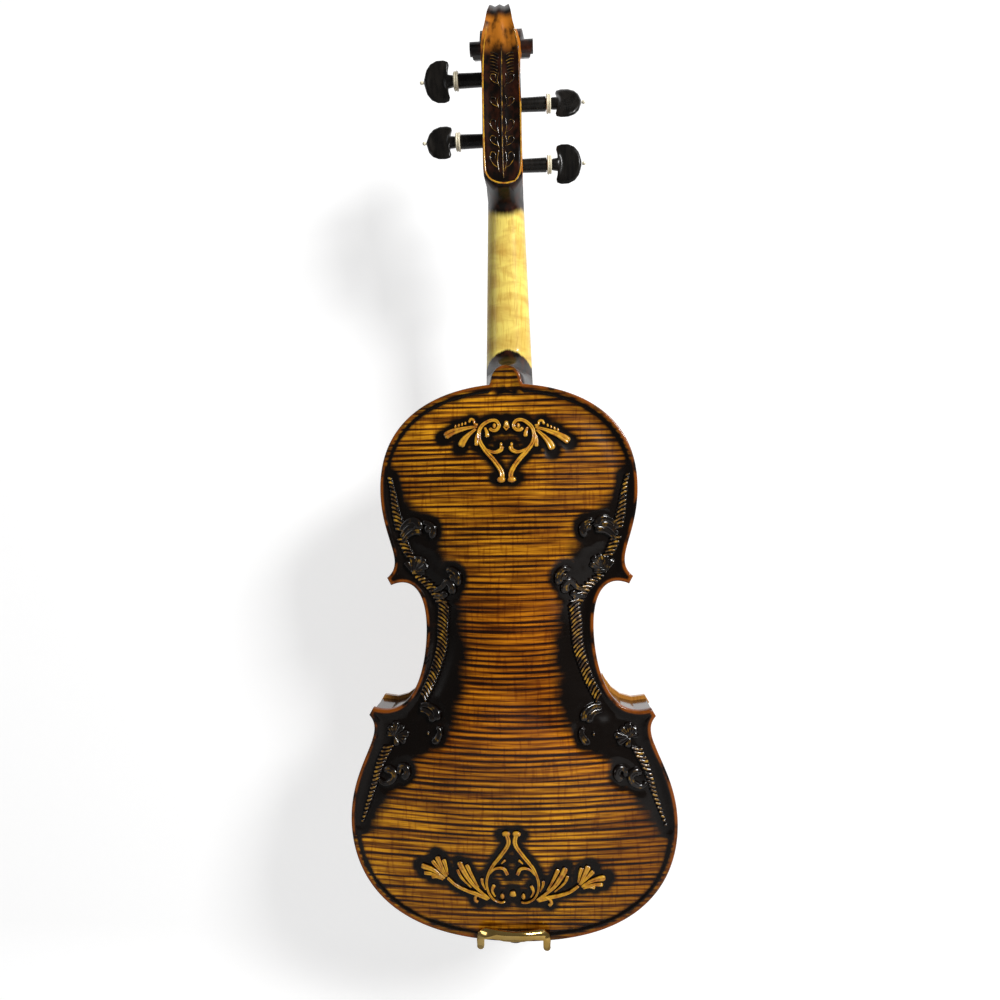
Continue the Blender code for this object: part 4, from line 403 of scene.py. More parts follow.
# Where the black round the waist gives way to amber, in pixels of the photograph's left half
BURST_BORDER = [
    (368.0, 835.0), (378.0, 812.0), (392.0, 790.0), (409.0, 764.0), (436.0, 745.0), (452.0, 728.0),
    (461.0, 690.0), (463.0, 650.0), (459.0, 610.0), (449.0, 575.0), (438.0, 545.0), (428.0, 520.0),
    (408.0, 505.0), (398.0, 490.0), (390.0, 466.0),
]


@dataclass(frozen=True)
class FlameVarnish:
    """Amber varnish on flamed maple, blackened where the shade attribute says."""

    name: str = "amber_flame_varnish"
    amber: tuple[float, float, float] = (0.34, 0.115, 0.006)
    gold: tuple[float, float, float] = (0.80, 0.35, 0.012)
    umber: tuple[float, float, float] = (0.032, 0.009, 0.002)
    rim: tuple[float, float, float] = (0.22, 0.055, 0.004)
    stripes: float = 92.0
    slope: float = 0.05
    waist_height: float = -0.300

    def material(self) -> bpy.types.Material:
        """Builds the varnish as nodes.

        Returns:
            The material. It reads the attributes shade, 0 clear to 1 black, and rim, 1 at the edge.
        """
        nodes = NodeTree(self.name)
        turn = (0.0, self.slope, 0.0)
        bands = nodes.waves(nodes.mapped((9.0, 1.0, self.stripes), turn), 5.5, 2.0, 0.7)
        broken = nodes.noise(nodes.mapped((10.0, 1.0, 400.0), turn), 3.0, 0.3)
        shares = [nodes.maths("MULTIPLY", bands, 0.24), nodes.maths("MULTIPLY", broken, 0.90)]
        flame = nodes.maths("ADD", *shares)
        fine = nodes.noise(nodes.mapped((45.0, 1.0, 900.0), turn), 3.0)
        wood = nodes.ramp(flame, [(0.45, self.umber), (0.55, self.amber), (0.69, self.gold)])
        thin = nodes.ramp(fine, [(0.38, (0.24, 0.16, 0.10)), (0.56, (1.0, 1.0, 1.0))])
        wood = nodes.mixed(0.75, wood, thin, "MULTIPLY")
        patches = nodes.noise(nodes.mapped((16.0, 1.0, 13.0)), 3.0)
        dim = nodes.ramp(patches, [(0.36, (0.34, 0.22, 0.14)), (0.60, (1.0, 1.0, 1.0))])
        wood = nodes.mixed(0.7, wood, dim, "MULTIPLY")
        from_waist = nodes.maths("SUBTRACT", nodes.axis("Z"), self.waist_height)
        from_waist = nodes.maths("ABSOLUTE", from_waist, 0.0)
        warm = nodes.maths("SUBTRACT", 1.0, nodes.stepped(from_waist, 0.035, 0.105))
        wood = nodes.mixed(warm, wood, nodes.mixed(warm, wood, (0.84, 0.66, 0.48), "MULTIPLY"))
        side = nodes.stepped(nodes.axis("X"), 0.005, 0.085)
        wood = nodes.mixed(side, wood, nodes.mixed(side, wood, (0.62, 0.52, 0.45), "MULTIPLY"))
        crackle = nodes.noise(nodes.mapped((420.0, 1.0, 60.0)), 2.0)
        veil = nodes.ramp(crackle, [(0.36, (0.55, 0.42, 0.30)), (0.47, (1.0, 1.0, 1.0))])
        wood = nodes.mixed(0.6, wood, veil, "MULTIPLY")
        smudge = nodes.noise(nodes.mapped((110.0, 110.0, 150.0)), 4.0)
        blots = nodes.noise(nodes.mapped((42.0, 42.0, 42.0)), 3.0)
        uneven = nodes.maths("ADD", nodes.ranged(smudge, -0.32, 0.32), nodes.ranged(blots, -0.26, 0.26))
        shade = nodes.maths("ADD", nodes.attribute("shade"), uneven)
        wood = nodes.mixed(nodes.stepped(shade, 0.14, 0.86), wood, BLACK_VARNISH)
        wear = nodes.noise(nodes.mapped((90.0, 90.0, 90.0)), 4.0)
        rim_share = nodes.maths("MULTIPLY", nodes.attribute("rim"), nodes.stepped(wear, 0.36, 0.56))
        wood = nodes.mixed(rim_share, wood, self.rim)
        nodes.link(wood, nodes.shader.inputs["Base Color"])
        nodes.link(nodes.ranged(fine, 0.20, 0.30), nodes.shader.inputs["Roughness"])
        nodes.shader.inputs["Specular IOR Level"].default_value = 0.14
        nodes.shader.inputs["Coat Weight"].default_value = 0.30
        nodes.shader.inputs["Coat Roughness"].default_value = 0.07
        nodes.bump(fine, 0.06, 0.0002)
        return nodes.material


@dataclass(frozen=True)
class CarvedVarnish:
    """Black varnish in the hollows and worn amber on the crests of the carving."""

    name: str
    gilding: Gilding
    amber: tuple[float, float, float] = (0.66, 0.34, 0.022)
    crest_start: float = 0.30

    def material(self) -> bpy.types.Material:
        """Builds the finish as nodes.

        Returns:
            The material. It reads the attribute crest, 0 at a stroke's foot to 1 at its top.
        """
        nodes = NodeTree(self.name)
        wear = nodes.noise(nodes.mapped((260.0, 260.0, 260.0)), 4.0)
        spread = 1.0 - self.gilding.value
        crest = nodes.maths("ADD", nodes.attribute("crest"), nodes.ranged(wear, -0.35, 0.35))
        share = nodes.stepped(crest, self.crest_start + 0.68 * spread, 0.75 + 0.62 * spread)
        tone = nodes.ramp(wear, [(0.3, (0.42, 0.13, 0.012)), (0.6, self.amber)])
        nodes.link(nodes.mixed(share, BLACK_VARNISH, tone), nodes.shader.inputs["Base Color"])
        nodes.link(nodes.ranged(wear, 0.14, 0.28), nodes.shader.inputs["Roughness"])
        nodes.shader.inputs["Specular IOR Level"].default_value = 0.35
        nodes.shader.inputs["Coat Weight"].default_value = 0.6
        nodes.shader.inputs["Coat Roughness"].default_value = 0.05
        nodes.bump(wear, 0.08, 0.0003)
        return nodes.material


@dataclass(frozen=True)
class NeckFinish:
    """Bare maple along the neck and black varnish on its heel, pegbox and scroll."""

    name: str = "neck_maple_and_varnish"
    maple: tuple[float, float, float] = (0.96, 0.76, 0.17)
    maple_dark: tuple[float, float, float] = (0.68, 0.42, 0.08)
    heel_edge: float = 0.3832
    head_edge: float = 0.4705
    top: float = 0.1238
    amber: tuple[float, float, float] = (0.46, 0.15, 0.012)

    def material(self) -> bpy.types.Material:
        """Builds the finish as nodes.

        Returns:
            The material. Its borders are arcs: the height moves with the square of x.
        """
        nodes = NodeTree(self.name)
        across = nodes.axis("X")
        bow = nodes.maths("MULTIPLY", nodes.maths("MULTIPLY", across, across), 42.0)
        height = nodes.axis("Z")
        ragged = nodes.ranged(nodes.noise(nodes.mapped((500.0, 500.0, 60.0)), 3.0), -0.0015, 0.0015)
        heel = nodes.maths("ADD", nodes.maths("ADD", height, bow), ragged)
        head = nodes.maths("ADD", nodes.maths("SUBTRACT", height, bow), ragged)
        heel_z = self.heel_edge + ORIGIN[2]
        head_z = self.head_edge + ORIGIN[2]
        bare = nodes.maths(
            "MULTIPLY",
            nodes.stepped(heel, heel_z - 0.0010, heel_z + 0.0010),
            nodes.maths("SUBTRACT", 1.0, nodes.stepped(head, head_z - 0.0025, head_z + 0.0035)),
        )
        flame = nodes.noise(nodes.mapped((40.0, 40.0, 110.0)), 4.0, 0.6)
        grain = nodes.noise(nodes.mapped((900.0, 900.0, 25.0)), 2.0)
        maple = nodes.ramp(flame, [(0.30, self.maple_dark), (0.58, self.maple)])
        flecks = nodes.ramp(grain, [(0.32, (0.72, 0.58, 0.42)), (0.50, (1.0, 1.0, 1.0))])
        maple = nodes.mixed(0.6, maple, flecks, "MULTIPLY")
        wear = nodes.noise(nodes.mapped((220.0, 220.0, 140.0)), 4.0)
        dark = nodes.ramp(wear, [(0.42, BLACK_VARNISH), (0.78, (0.045, 0.010, 0.003))])
        offset = nodes.maths("ABSOLUTE", across, 0.0)
        below = nodes.maths("SUBTRACT", self.top, height)
        half = nodes.maths("ADD", nodes.maths("MULTIPLY", below, 0.25), 0.0062)
        half = nodes.maths("MINIMUM", half, 0.0130)
        uneven = nodes.maths("ADD", half, nodes.ranged(wear, -0.0004, 0.0004))
        margin = nodes.maths("SUBTRACT", uneven, offset)
        line = nodes.band(margin, (-0.0002, 0.0003), (0.0011, 0.0017))
        above = nodes.stepped(height, head_z + 0.020, head_z + 0.022)
        dark = nodes.mixed(nodes.maths("MULTIPLY", line, above), dark, self.amber)
        scroll = nodes.band(below, (0.014, 0.021), (0.031, 0.039))
        scroll = nodes.maths("MULTIPLY", scroll, nodes.stepped(margin, 0.0, 0.001))
        glow = nodes.maths("MULTIPLY", scroll, nodes.stepped(wear, 0.24, 0.58))
        dark = nodes.mixed(glow, dark, self.amber)
        nodes.link(nodes.mixed(bare, dark, maple), nodes.shader.inputs["Base Color"])
        nodes.link(nodes.ranged(wear, 0.26, 0.42), nodes.shader.inputs["Roughness"])
        nodes.shader.inputs["Specular IOR Level"].default_value = 0.16
        nodes.shader.inputs["Coat Weight"].default_value = 0.14
        nodes.shader.inputs["Coat Roughness"].default_value = 0.08
        nodes.bump(grain, 0.05, 0.0002)
        return nodes.material


FINISHES = {
    "rib_maple": Finish("rib_varnish", (0.012, 0.005, 0.002), (0.07, 0.022, 0.006), 0.16, coat=0.5),
    "top_spruce": Finish(
        "top_varnish", (0.40, 0.15, 0.02), (0.62, 0.28, 0.05), 0.2, 0.0, 0.5, (900.0, 9.0, 9.0),
    ),
    "bare_spruce": Finish("bare_spruce", (0.62, 0.44, 0.22), (0.76, 0.58, 0.34), 0.7),
    "bridge_maple": Finish("bridge_maple", (0.58, 0.36, 0.15), (0.70, 0.48, 0.24), 0.5),
    "ebony": Finish(
        "ebony_satin", (0.004, 0.0036, 0.0032), (0.014, 0.012, 0.010), 0.26, specular=0.22,
    ),
    "bone": Finish(
        "cream_bone", (0.74, 0.66, 0.46), (0.85, 0.79, 0.62), 0.3, grain=(400.0, 400.0, 400.0),
    ),
    "gold": Finish(
        "polished_gold", (0.80, 0.50, 0.13), (0.95, 0.68, 0.26), 0.12, 1.0, 0.0, (60.0, 60.0, 60.0), 0.01,
    ),
    "steel": Finish("wound_steel", (0.45, 0.45, 0.46), (0.60, 0.60, 0.62), 0.25, 1.0),
    "nylon": Finish("black_nylon", (0.012, 0.012, 0.012), (0.03, 0.03, 0.03), 0.5),
    "cork": Finish(
        "cork", (0.34, 0.19, 0.09), (0.52, 0.33, 0.17), 0.9, grain=(900.0, 900.0, 900.0), bump=0.4,
    ),
}


def bezier(corners: Points, steps: int) -> np.ndarray:
    """Points on a cubic curve: the sum of its four corners weighted by the Bernstein terms.

    Args:
        corners: The four corners.
        steps: How many spans to cut it into.

    Returns:
        An array of (x, z).
    """
    t = np.linspace(0.0, 1.0, steps + 1)[:, None]
    a, b, c, d = (np.array(p, float) for p in corners)
    return (1 - t) ** 3 * a + 3 * (1 - t) ** 2 * t * b + 3 * (1 - t) * t**2 * c + t**3 * d


def heading(degrees: float) -> np.ndarray:
    """The unit vector at an angle from +x towards +z."""
    return np.array([math.cos(math.radians(degrees)), math.sin(math.radians(degrees))])


def smooth(value: np.ndarray) -> np.ndarray:
    """A smooth step from 0 to 1 over the range 0..1."""
    t = np.clip(value, 0.0, 1.0)
    return t * t * (3 - 2 * t)


def span(
    start: np.ndarray, pull_in: np.ndarray, pull_out: np.ndarray, end: np.ndarray, steps: int
) -> np.ndarray:
    """A cubic curve given by its ends and the pulls at them.

    Args:
        start: Its first point.
        pull_in: From the first point to the second corner.
        pull_out: From the last point to the third corner.
        end: Its last point.
        steps: How many spans to cut it into.

    Returns:
        An array of (x, z).
    """
    return bezier([tuple(start), tuple(start + pull_in), tuple(end + pull_out), tuple(end)], steps)


def plate_outline() -> np.ndarray:
    """The back's outline with its button, anticlockwise from the bottom.

    Returns:
        A closed loop of (x, z), without a repeated end.
    """
    bottom = np.array([0.0, 0.0])
    top = np.array([0.0, BODY_LENGTH])
    lower, waist, upper = (np.array(p) for p in (LOWER_BOUT, WAIST, UPPER_BOUT))
    low_tip = np.array(LOWER_CORNER)
    low_inner = low_tip + CORNER_TIP * heading(120)
    up_tip = np.array(UPPER_CORNER)
    up_inner = up_tip - CORNER_TIP * heading(62)
    side, up = heading(0), heading(90)
    rise, low, high = low_tip[1] - lower[1], waist[1] - low_inner[1], up_inner[1] - waist[1]
    climb, crown = upper[1] - up_tip[1], top[1] - upper[1]
    runs = [
        span(bottom, 0.845 * lower[0] * side, -0.387 * lower[1] * up, lower, 80),
        span(lower, 0.54 * rise * up, -0.26 * rise * heading(47), low_tip, 50)[1:],
        np.linspace(low_tip, low_inner, 5)[1:-1],
        span(low_inner, 0.605 * low * heading(197), -0.355 * low * up, waist, 50),
        span(waist, 0.86 * high * up, 0.545 * high * heading(156), up_inner, 34)[1:],
        np.linspace(up_inner, up_tip, 5)[1:-1],
        span(up_tip, 0.30 * climb * heading(141), -0.558 * climb * up, upper, 44),
        span(upper, 0.787 * crown * up, 0.423 * upper[0] * side, top, 70)[1:],
    ]
    right = np.concatenate(runs)
    right = right[(right[:, 1] < UPPER_BOUT[1]) | (right[:, 0] > BUTTON_RADIUS + 0.0005)]
    turn = np.linspace(0, math.pi / 2, 18)
    centre = BUTTON_TOP - BUTTON_RADIUS
    button = np.stack([BUTTON_RADIUS * np.cos(turn), centre + BUTTON_RADIUS * np.sin(turn)], 1)
    right = np.concatenate([right, button])
    left = right[1:-1][::-1] * [-1.0, 1.0]
    return np.concatenate([right, left])


def distance_to(loop: np.ndarray, points: np.ndarray, closed: bool = True) -> np.ndarray:
    """The least distance from each point to a line of segments.

    Args:
        loop: The line's points.
        points: Where to measure.
        closed: Whether the last point joins the first.

    Returns:
        One distance for each point.
    """
    ends = np.roll(loop, -1, axis=0) if closed else loop[1:]
    starts = loop if closed else loop[:-1]
    best = np.full(len(points), 1e9)
    for a, b in zip(starts, ends):
        run = b - a
        share = np.clip(((points - a) @ run) / max(run @ run, 1e-18), 0, 1)
        best = np.minimum(best, np.linalg.norm(points - a - share[:, None] * run, axis=1))
    return best


def inside(loop: np.ndarray, points: np.ndarray) -> np.ndarray:
    """Whether each point lies in a closed loop, by counting crossings of a ray along +x.

    Args:
        loop: The loop's points.
        points: The points to test.

    Returns:
        A truth value for each point.
    """
    odd = np.zeros(len(points), bool)
    for a, b in zip(loop, np.roll(loop, -1, axis=0)):
        if a[1] == b[1]:
            continue
        at = a[0] + (points[:, 1] - a[1]) * (b[0] - a[0]) / (b[1] - a[1])
        odd ^= ((a[1] > points[:, 1]) != (b[1] > points[:, 1])) & (points[:, 0] < at)
    return odd


def arch_half_width(z: np.ndarray) -> np.ndarray:
    """Half of the arched field's width: round ends joined by smooth steps through the waist.

    Args:
        z: Heights in the body's frame.

    Returns:
        The half widths.
    """
    bottom, top = CHANNEL_INSET, BODY_LENGTH - CHANNEL_INSET
    lower, waist, upper = (p[0] - CHANNEL_INSET for p in (LOWER_BOUT, WAIST, UPPER_BOUT))
    low_share = np.clip((LOWER_BOUT[1] - z) / (LOWER_BOUT[1] - bottom), 0, 1)
    high_share = np.clip((z - UPPER_BOUT[1]) / (top - UPPER_BOUT[1]), 0, 1)
    low_round = lower * (1 - low_share**2.3) ** (1 / 2.3)
    high_round = upper * (1 - high_share**2.3) ** (1 / 2.3)
    first = lower + (waist - lower) * smooth((z - LOWER_BOUT[1]) / (WAIST[1] - LOWER_BOUT[1]))
    second = waist + (upper - waist) * smooth((z - WAIST[1]) / (UPPER_BOUT[1] - WAIST[1]))
    middle = np.where(z < WAIST[1], first, second)
    middle = np.where(z < LOWER_BOUT[1], low_round, np.where(z > UPPER_BOUT[1], high_round, middle))
    return np.maximum(middle, 1e-4)


def arch_share(x: np.ndarray, z: np.ndarray) -> np.ndarray:
    """The arch's height as a share: a bell across, times a flat-topped bell along.

    Args:
        x: Places across.
        z: Places along.

    Returns:
        Shares from 0 to 1.
    """
    along = np.clip(np.abs(z - BODY_LENGTH / 2) / (BODY_LENGTH / 2 - CHANNEL_INSET), 0, 1)
    across = np.clip(np.abs(x) / arch_half_width(z), 0, 1)
    return (1 - along**3.5) ** 1.5 * (1 - across**2) ** 1.5


OUTLINE = plate_outline()


@dataclass
class Plate:
    """The back plate's outer surface, with the ground sunk round the carving."""

    ground_depth: float = 0.0005
    ground_reach: float = 0.0034
    strokes: list["Stroke"] = field(default_factory=list)

    def level(self, x: np.ndarray, z: np.ndarray) -> np.ndarray:
        """y of the arch and the edge channel, without the sunk ground.

        Args:
            x: Places across.
            z: Places along.

        Returns:
            The y values, negative outwards.
        """
        points = np.stack([x.ravel(), z.ravel()], 1)
        distance = distance_to(OUTLINE, points).reshape(x.shape)
        return self.level_at(x, z, distance)

    @staticmethod
    def level_at(x: np.ndarray, z: np.ndarray, distance: np.ndarray) -> np.ndarray:
        """The same, where the distance to the outline is known.

        Args:
            x: Places across.
            z: Places along.
            distance: Distances to the outline.

        Returns:
            The y values.
        """
        inner = np.clip(1 - distance / EDGE_ROUND, 0, 1)
        drop = EDGE_ROUND * (1 - np.sqrt(1 - inner**2)) * 0.9
        start = 0.45 * CHANNEL_INSET
        falling = smooth((distance - start) / (CHANNEL_INSET - start))
        rising = smooth((distance - CHANNEL_INSET) / (2 * CHANNEL_INSET))
        return -BACK_ARCH * arch_share(x, z) + drop + CHANNEL_DEPTH * falling * (1 - rising)

    def stroke_distance(self, points: np.ndarray) -> np.ndarray:
        """The least distance from each point to the edge of any carved stroke.

        Args:
            points: (x, z) places.

        Returns:
            Distances, negative under a stroke.
        """
        best = np.full(len(points), 1.0)
        for stroke in self.strokes:
            path = stroke.path
            near = np.all(points > path.min(0) - 0.02, axis=1)
            near &= np.all(points < path.max(0) + 0.02, axis=1)
            if near.any():
                found = distance_to(path, points[near], closed=False) - stroke.width
                best[near] = np.minimum(best[near], found)
        return best

    def build(self) -> bpy.types.Object:
        """Makes the plate as one closed mesh with the attributes shade and rim.

        Returns:
            The plate.
        """
        rings = [OUTLINE]
        run = np.roll(OUTLINE, -1, axis=0) - np.roll(OUTLINE, 1, axis=0)
        run /= np.linalg.norm(run, axis=1)[:, None]
        normal = np.stack([-run[:, 1], run[:, 0]], 1)
        for depth in (0.3, 0.7, 1.2, 1.7, 2.2, 2.7, 3.2, 3.8, 4.5, 5.2, 6.0, 7.0, 8.2, 9.4):
            ring = OUTLINE + depth * MM * normal
            kept = inside(OUTLINE, ring) & (distance_to(OUTLINE, ring) > 0.97 * depth * MM)
            rings.append(ring[kept][:: 1 if depth < 4.6 else 2])
        xs = np.arange(-0.105, 0.105, 0.0016)
        zs = np.arange(0.001, BODY_LENGTH, 0.0016)
        field_points = np.stack(np.meshgrid(xs, zs), -1).reshape(-1, 2)
        field_points = field_points[inside(OUTLINE, field_points)]
        field_points = field_points[distance_to(OUTLINE, field_points) > 0.0104]
        points = np.concatenate([*rings, field_points])
        count = len(OUTLINE)
        edges = [(i, (i + 1) % count) for i in range(count)]
        found = delaunay_2d_cdt([Vector(p) for p in points], edges, [], 0, 1e-8)
        verts = np.array([tuple(v) for v in found[0]])
        faces = np.array([f for f in found[2] if len(f) == 3])
        faces = faces[inside(OUTLINE, verts[faces].mean(1))]
        used = np.unique(faces)
        renumber = np.full(len(verts), -1)
        renumber[used] = np.arange(len(used))
        verts, faces = verts[used], renumber[faces]
        return self.solid(verts, faces)

    def solid(self, verts: np.ndarray, faces: np.ndarray) -> bpy.types.Object:
        """Closes the triangulated outer face with walls and an inner face.

        Args:
            verts: (x, z) places.
            faces: Triangles over them.

        Returns:
            The plate as an object.
        """
        x, z = verts.T
        edge = distance_to(OUTLINE, verts)
        gap = self.stroke_distance(verts)
        outer = self.level_at(x, z, edge)
        sunk = smooth((self.ground_reach + 0.0014 - gap) / 0.0042) * (edge > 0.0022)
        outer = outer + self.ground_depth * sunk
        inner = np.where(edge > 0.0095, np.minimum(BACK_INSIDE, outer + PLATE_THICKNESS), BACK_INSIDE)
        inner = np.where(z > BODY_LENGTH - 0.0095, BACK_INSIDE, inner)
        both = np.concatenate([np.stack([x, outer, z], 1), np.stack([x, inner, z], 1)]) + ORIGIN
        a, b, c = faces.T
        ab, ac = verts[b] - verts[a], verts[c] - verts[a]
        flip = (ab[:, 0] * ac[:, 1] - ab[:, 1] * ac[:, 0]) < 0
        faces = np.where(flip[:, None], faces[:, [0, 2, 1]], faces)
        sides = np.concatenate([faces[:, [0, 1]], faces[:, [1, 2]], faces[:, [2, 0]]])
        keys = np.sort(sides, axis=1)
        _, first, times = np.unique(keys, axis=0, return_index=True, return_counts=True)
        rim = sides[first[times == 1]]
        lift = len(verts)
        walls = np.stack([rim[:, 1], rim[:, 0], rim[:, 0] + lift, rim[:, 1] + lift], 1)
        polygons = [*faces.tolist(), *(faces[:, ::-1] + lift).tolist(), *walls.tolist()]
        plate = mesh_object("carved_back", both, polygons, 50)
        shade = self.shading(x, z, edge, gap)
        rim_share = smooth((0.0024 - edge) / 0.0007)
        add_attribute(plate, "shade", np.concatenate([shade, shade]))
        add_attribute(plate, "rim", np.concatenate([rim_share, rim_share]))
        return plate

    @staticmethod
    def shading(x: np.ndarray, z: np.ndarray, edge: np.ndarray, gap: np.ndarray) -> np.ndarray:
        """How black the varnish is: round the strokes, in the channel and round the waist.

        Args:
            x: Places across.
            z: Places along.
            edge: Distances to the outline.
            gap: Distances to the carving.

        Returns:
            Shares from 0 to 1.
        """
        near = smooth((0.0076 - gap) / 0.0076)
        off_button = np.hypot(OUTLINE[:, 0], OUTLINE[:, 1] - BODY_LENGTH) > 0.0135
        crown = distance_to(OUTLINE[off_button], np.stack([x, z], 1))
        on_button = (z > BODY_LENGTH - 0.0015) & (np.abs(x) < BUTTON_RADIUS)
        channel = np.exp(-(((np.where(np.abs(x) < 0.02, crown, edge) - 0.0043) / 0.0020) ** 2))
        channel = np.where(on_button, 0.0, channel)
        border = 0.62 * np.exp(-edge / 0.011)
        reach = on_plate(BURST_BORDER)
        order = np.argsort(reach[:, 1])
        limit = np.interp(z, reach[order, 1], np.abs(reach[order, 0]), left=0.13, right=0.13)
        burst = smooth((np.abs(x) - limit + 0.0135) / 0.022)
        button = 0.42 * smooth((z - BODY_LENGTH + 0.004) / 0.004)
        return np.clip(np.maximum.reduce([near, channel, border, burst, button]), 0.0, 1.0)


@dataclass
class Stroke:
    """One carved stroke: its path on the plate, its half width and its height."""

    path: np.ndarray
    width: float
    height: float
    tip: float = 1.0
    root: float = 0.45
    groove: float = 0.0

    @staticmethod
    def through(points: np.ndarray, steps: int) -> np.ndarray:
        """A smooth line through points: a Catmull-Rom curve, read at equal shares of its length.

        Args:
            points: The points.
            steps: How many spans to return.

        Returns:
            The line's points.
        """
        if len(points) == 2:
            return points[0] + (points[1] - points[0]) * np.linspace(0, 1, steps + 1)[:, None]
        ends = np.concatenate([[2 * points[0] - points[1]], points, [2 * points[-1] - points[-2]]])
        t = np.linspace(0, 1, 9)[:-1][:, None]
        parts = []
        for a, b, c, d in zip(ends, ends[1:], ends[2:], ends[3:]):
            bend = (2 * a - 5 * b + 4 * c - d) * t**2 + (3 * b - a - 3 * c + d) * t**3
            parts.append(0.5 * (2 * b + (c - a) * t + bend))
        line = np.concatenate([*parts, points[-1:]])
        length = np.concatenate([[0], np.cumsum(np.linalg.norm(np.diff(line, axis=0), axis=1))])
        at = np.linspace(0, length[-1], steps + 1)
        return np.stack([np.interp(at, length, line[:, k]) for k in (0, 1)], 1)

    def mesh(self, plate: Plate, sink: float) -> tuple[np.ndarray, np.ndarray, np.ndarray]:
        """Sweeps a crowned section along the path, with round ends.

        The half width runs from root to tip along the path, and falls to nothing over the last
        half width at each end, as a circle does. The crown is the square root of 1 - v squared,
        less a groove along the middle where the stroke has one.

        Args:
            plate: The surface that the stroke stands on.
            sink: How far the ground round it is sunk.

        Returns:
            Points, quads and the share of height at each point.
        """
        run = np.gradient(self.path, axis=0)
        run /= np.maximum(np.linalg.norm(run, axis=1)[:, None], 1e-12)
        normal = np.stack([-run[:, 1], run[:, 0]], 1)
        length = np.concatenate([[0], np.cumsum(np.linalg.norm(np.diff(self.path, axis=0), axis=1))])
        share = length / length[-1]
        half = self.width * (self.root + (self.tip - self.root) * smooth(share))
        ends = np.minimum(length / (0.9 * half[0]), (length[-1] - length) / (0.9 * half[-1]))
        ends = np.sqrt(np.clip(1 - (1 - np.clip(ends, 0.0, 1.0)) ** 2, 0.004, 1.0))
        v = np.cos(np.linspace(math.pi, 0, 11))
        crown = np.sqrt(np.clip(1 - v**2, 0, 1)) ** 0.9
        crown = crown * (1 - self.groove * np.exp(-((v / 0.30) ** 2)))
        v_all = np.concatenate([v, [0.7, -0.7]])
        crown_all = np.concatenate([crown, [-1.0, -1.0]])
        across = (half * ends)[:, None] * v_all[None]
        x = self.path[:, 0][:, None] + normal[:, 0][:, None] * across
        z = self.path[:, 1][:, None] + normal[:, 1][:, None] * across
        rise = np.where(crown_all[None] >= 0, crown_all[None] * (self.height * ends)[:, None], -0.0008)
        y = plate.level(x, z) + sink - rise
        count, ring = x.shape
        index = np.arange(count * ring).reshape(count, ring)
        nxt = np.roll(index, -1, axis=1)
        quads = np.stack([index[:-1], nxt[:-1], nxt[1:], index[1:]], -1).reshape(-1, 4)
        crest = np.broadcast_to(np.clip(crown_all, 0, 1)[None] * ends[:, None], x.shape)
        return np.stack([x, y, z], -1).reshape(-1, 3), quads, crest.ravel()


def mesh_object(name: str, points: np.ndarray, faces: list, sharp: float = 40.0) -> bpy.types.Object:
    """Makes an object of a mesh, smooth but for its sharp edges.

    Args:
        name: The object's name.
        points: Its points.
        faces: Its faces, as lists of point numbers.
        sharp: The angle in degrees over which an edge is sharp.

    Returns:
        The object, at the origin.
    """
    mesh = bpy.data.meshes.new(name)
    mesh.from_pydata(points.tolist(), [], faces)
    mesh.validate()
    mesh.shade_smooth()
    mesh.set_sharp_from_angle(angle=math.radians(sharp))
    item = bpy.data.objects.new(name, mesh)
    bpy.context.scene.collection.objects.link(item)
    return item


def add_attribute(item: bpy.types.Object, name: str, values: np.ndarray) -> None:
    """Stores one number for each point.

    Args:
        item: The object.
        name: The attribute's name.
        values: The numbers.
    """
    layer = item.data.attributes.new(name, "FLOAT", "POINT")
    layer.data.foreach_set("value", values.astype(np.float32))


def outward(item: bpy.types.Object) -> None:
    """Turns a closed mesh's faces outwards."""
    work = bmesh.new()
    work.from_mesh(item.data)
    bmesh.ops.recalc_face_normals(work, faces=work.faces)
    work.to_mesh(item.data)
    work.free()


def on_plate(pixels: Points) -> np.ndarray:
    """Places on the back that the camera sees at pixels: its rays, met with the arch by iteration.

    Args:
        pixels: Places in the photograph.

    Returns:
        (x, z) in the body's frame.
    """
    px = np.array(pixels, float)
    side = (px[:, :1] - IMAGE_CENTRE) / FOCAL_PIXELS
    down = (px[:, 1:] - IMAGE_CENTRE) / FOCAL_PIXELS
    rays = CAMERA_FORWARD + side * CAMERA_RIGHT + down * CAMERA_DOWN
    level = np.full(len(px), -0.008)
    for _ in range(6):
        place = CAMERA_PLACE + rays * ((level - CAMERA_PLACE[1]) / rays[:, 1])[:, None]
        level = -BACK_ARCH * arch_share(place[:, 0], place[:, 2])
    return place[:, [0, 2]]


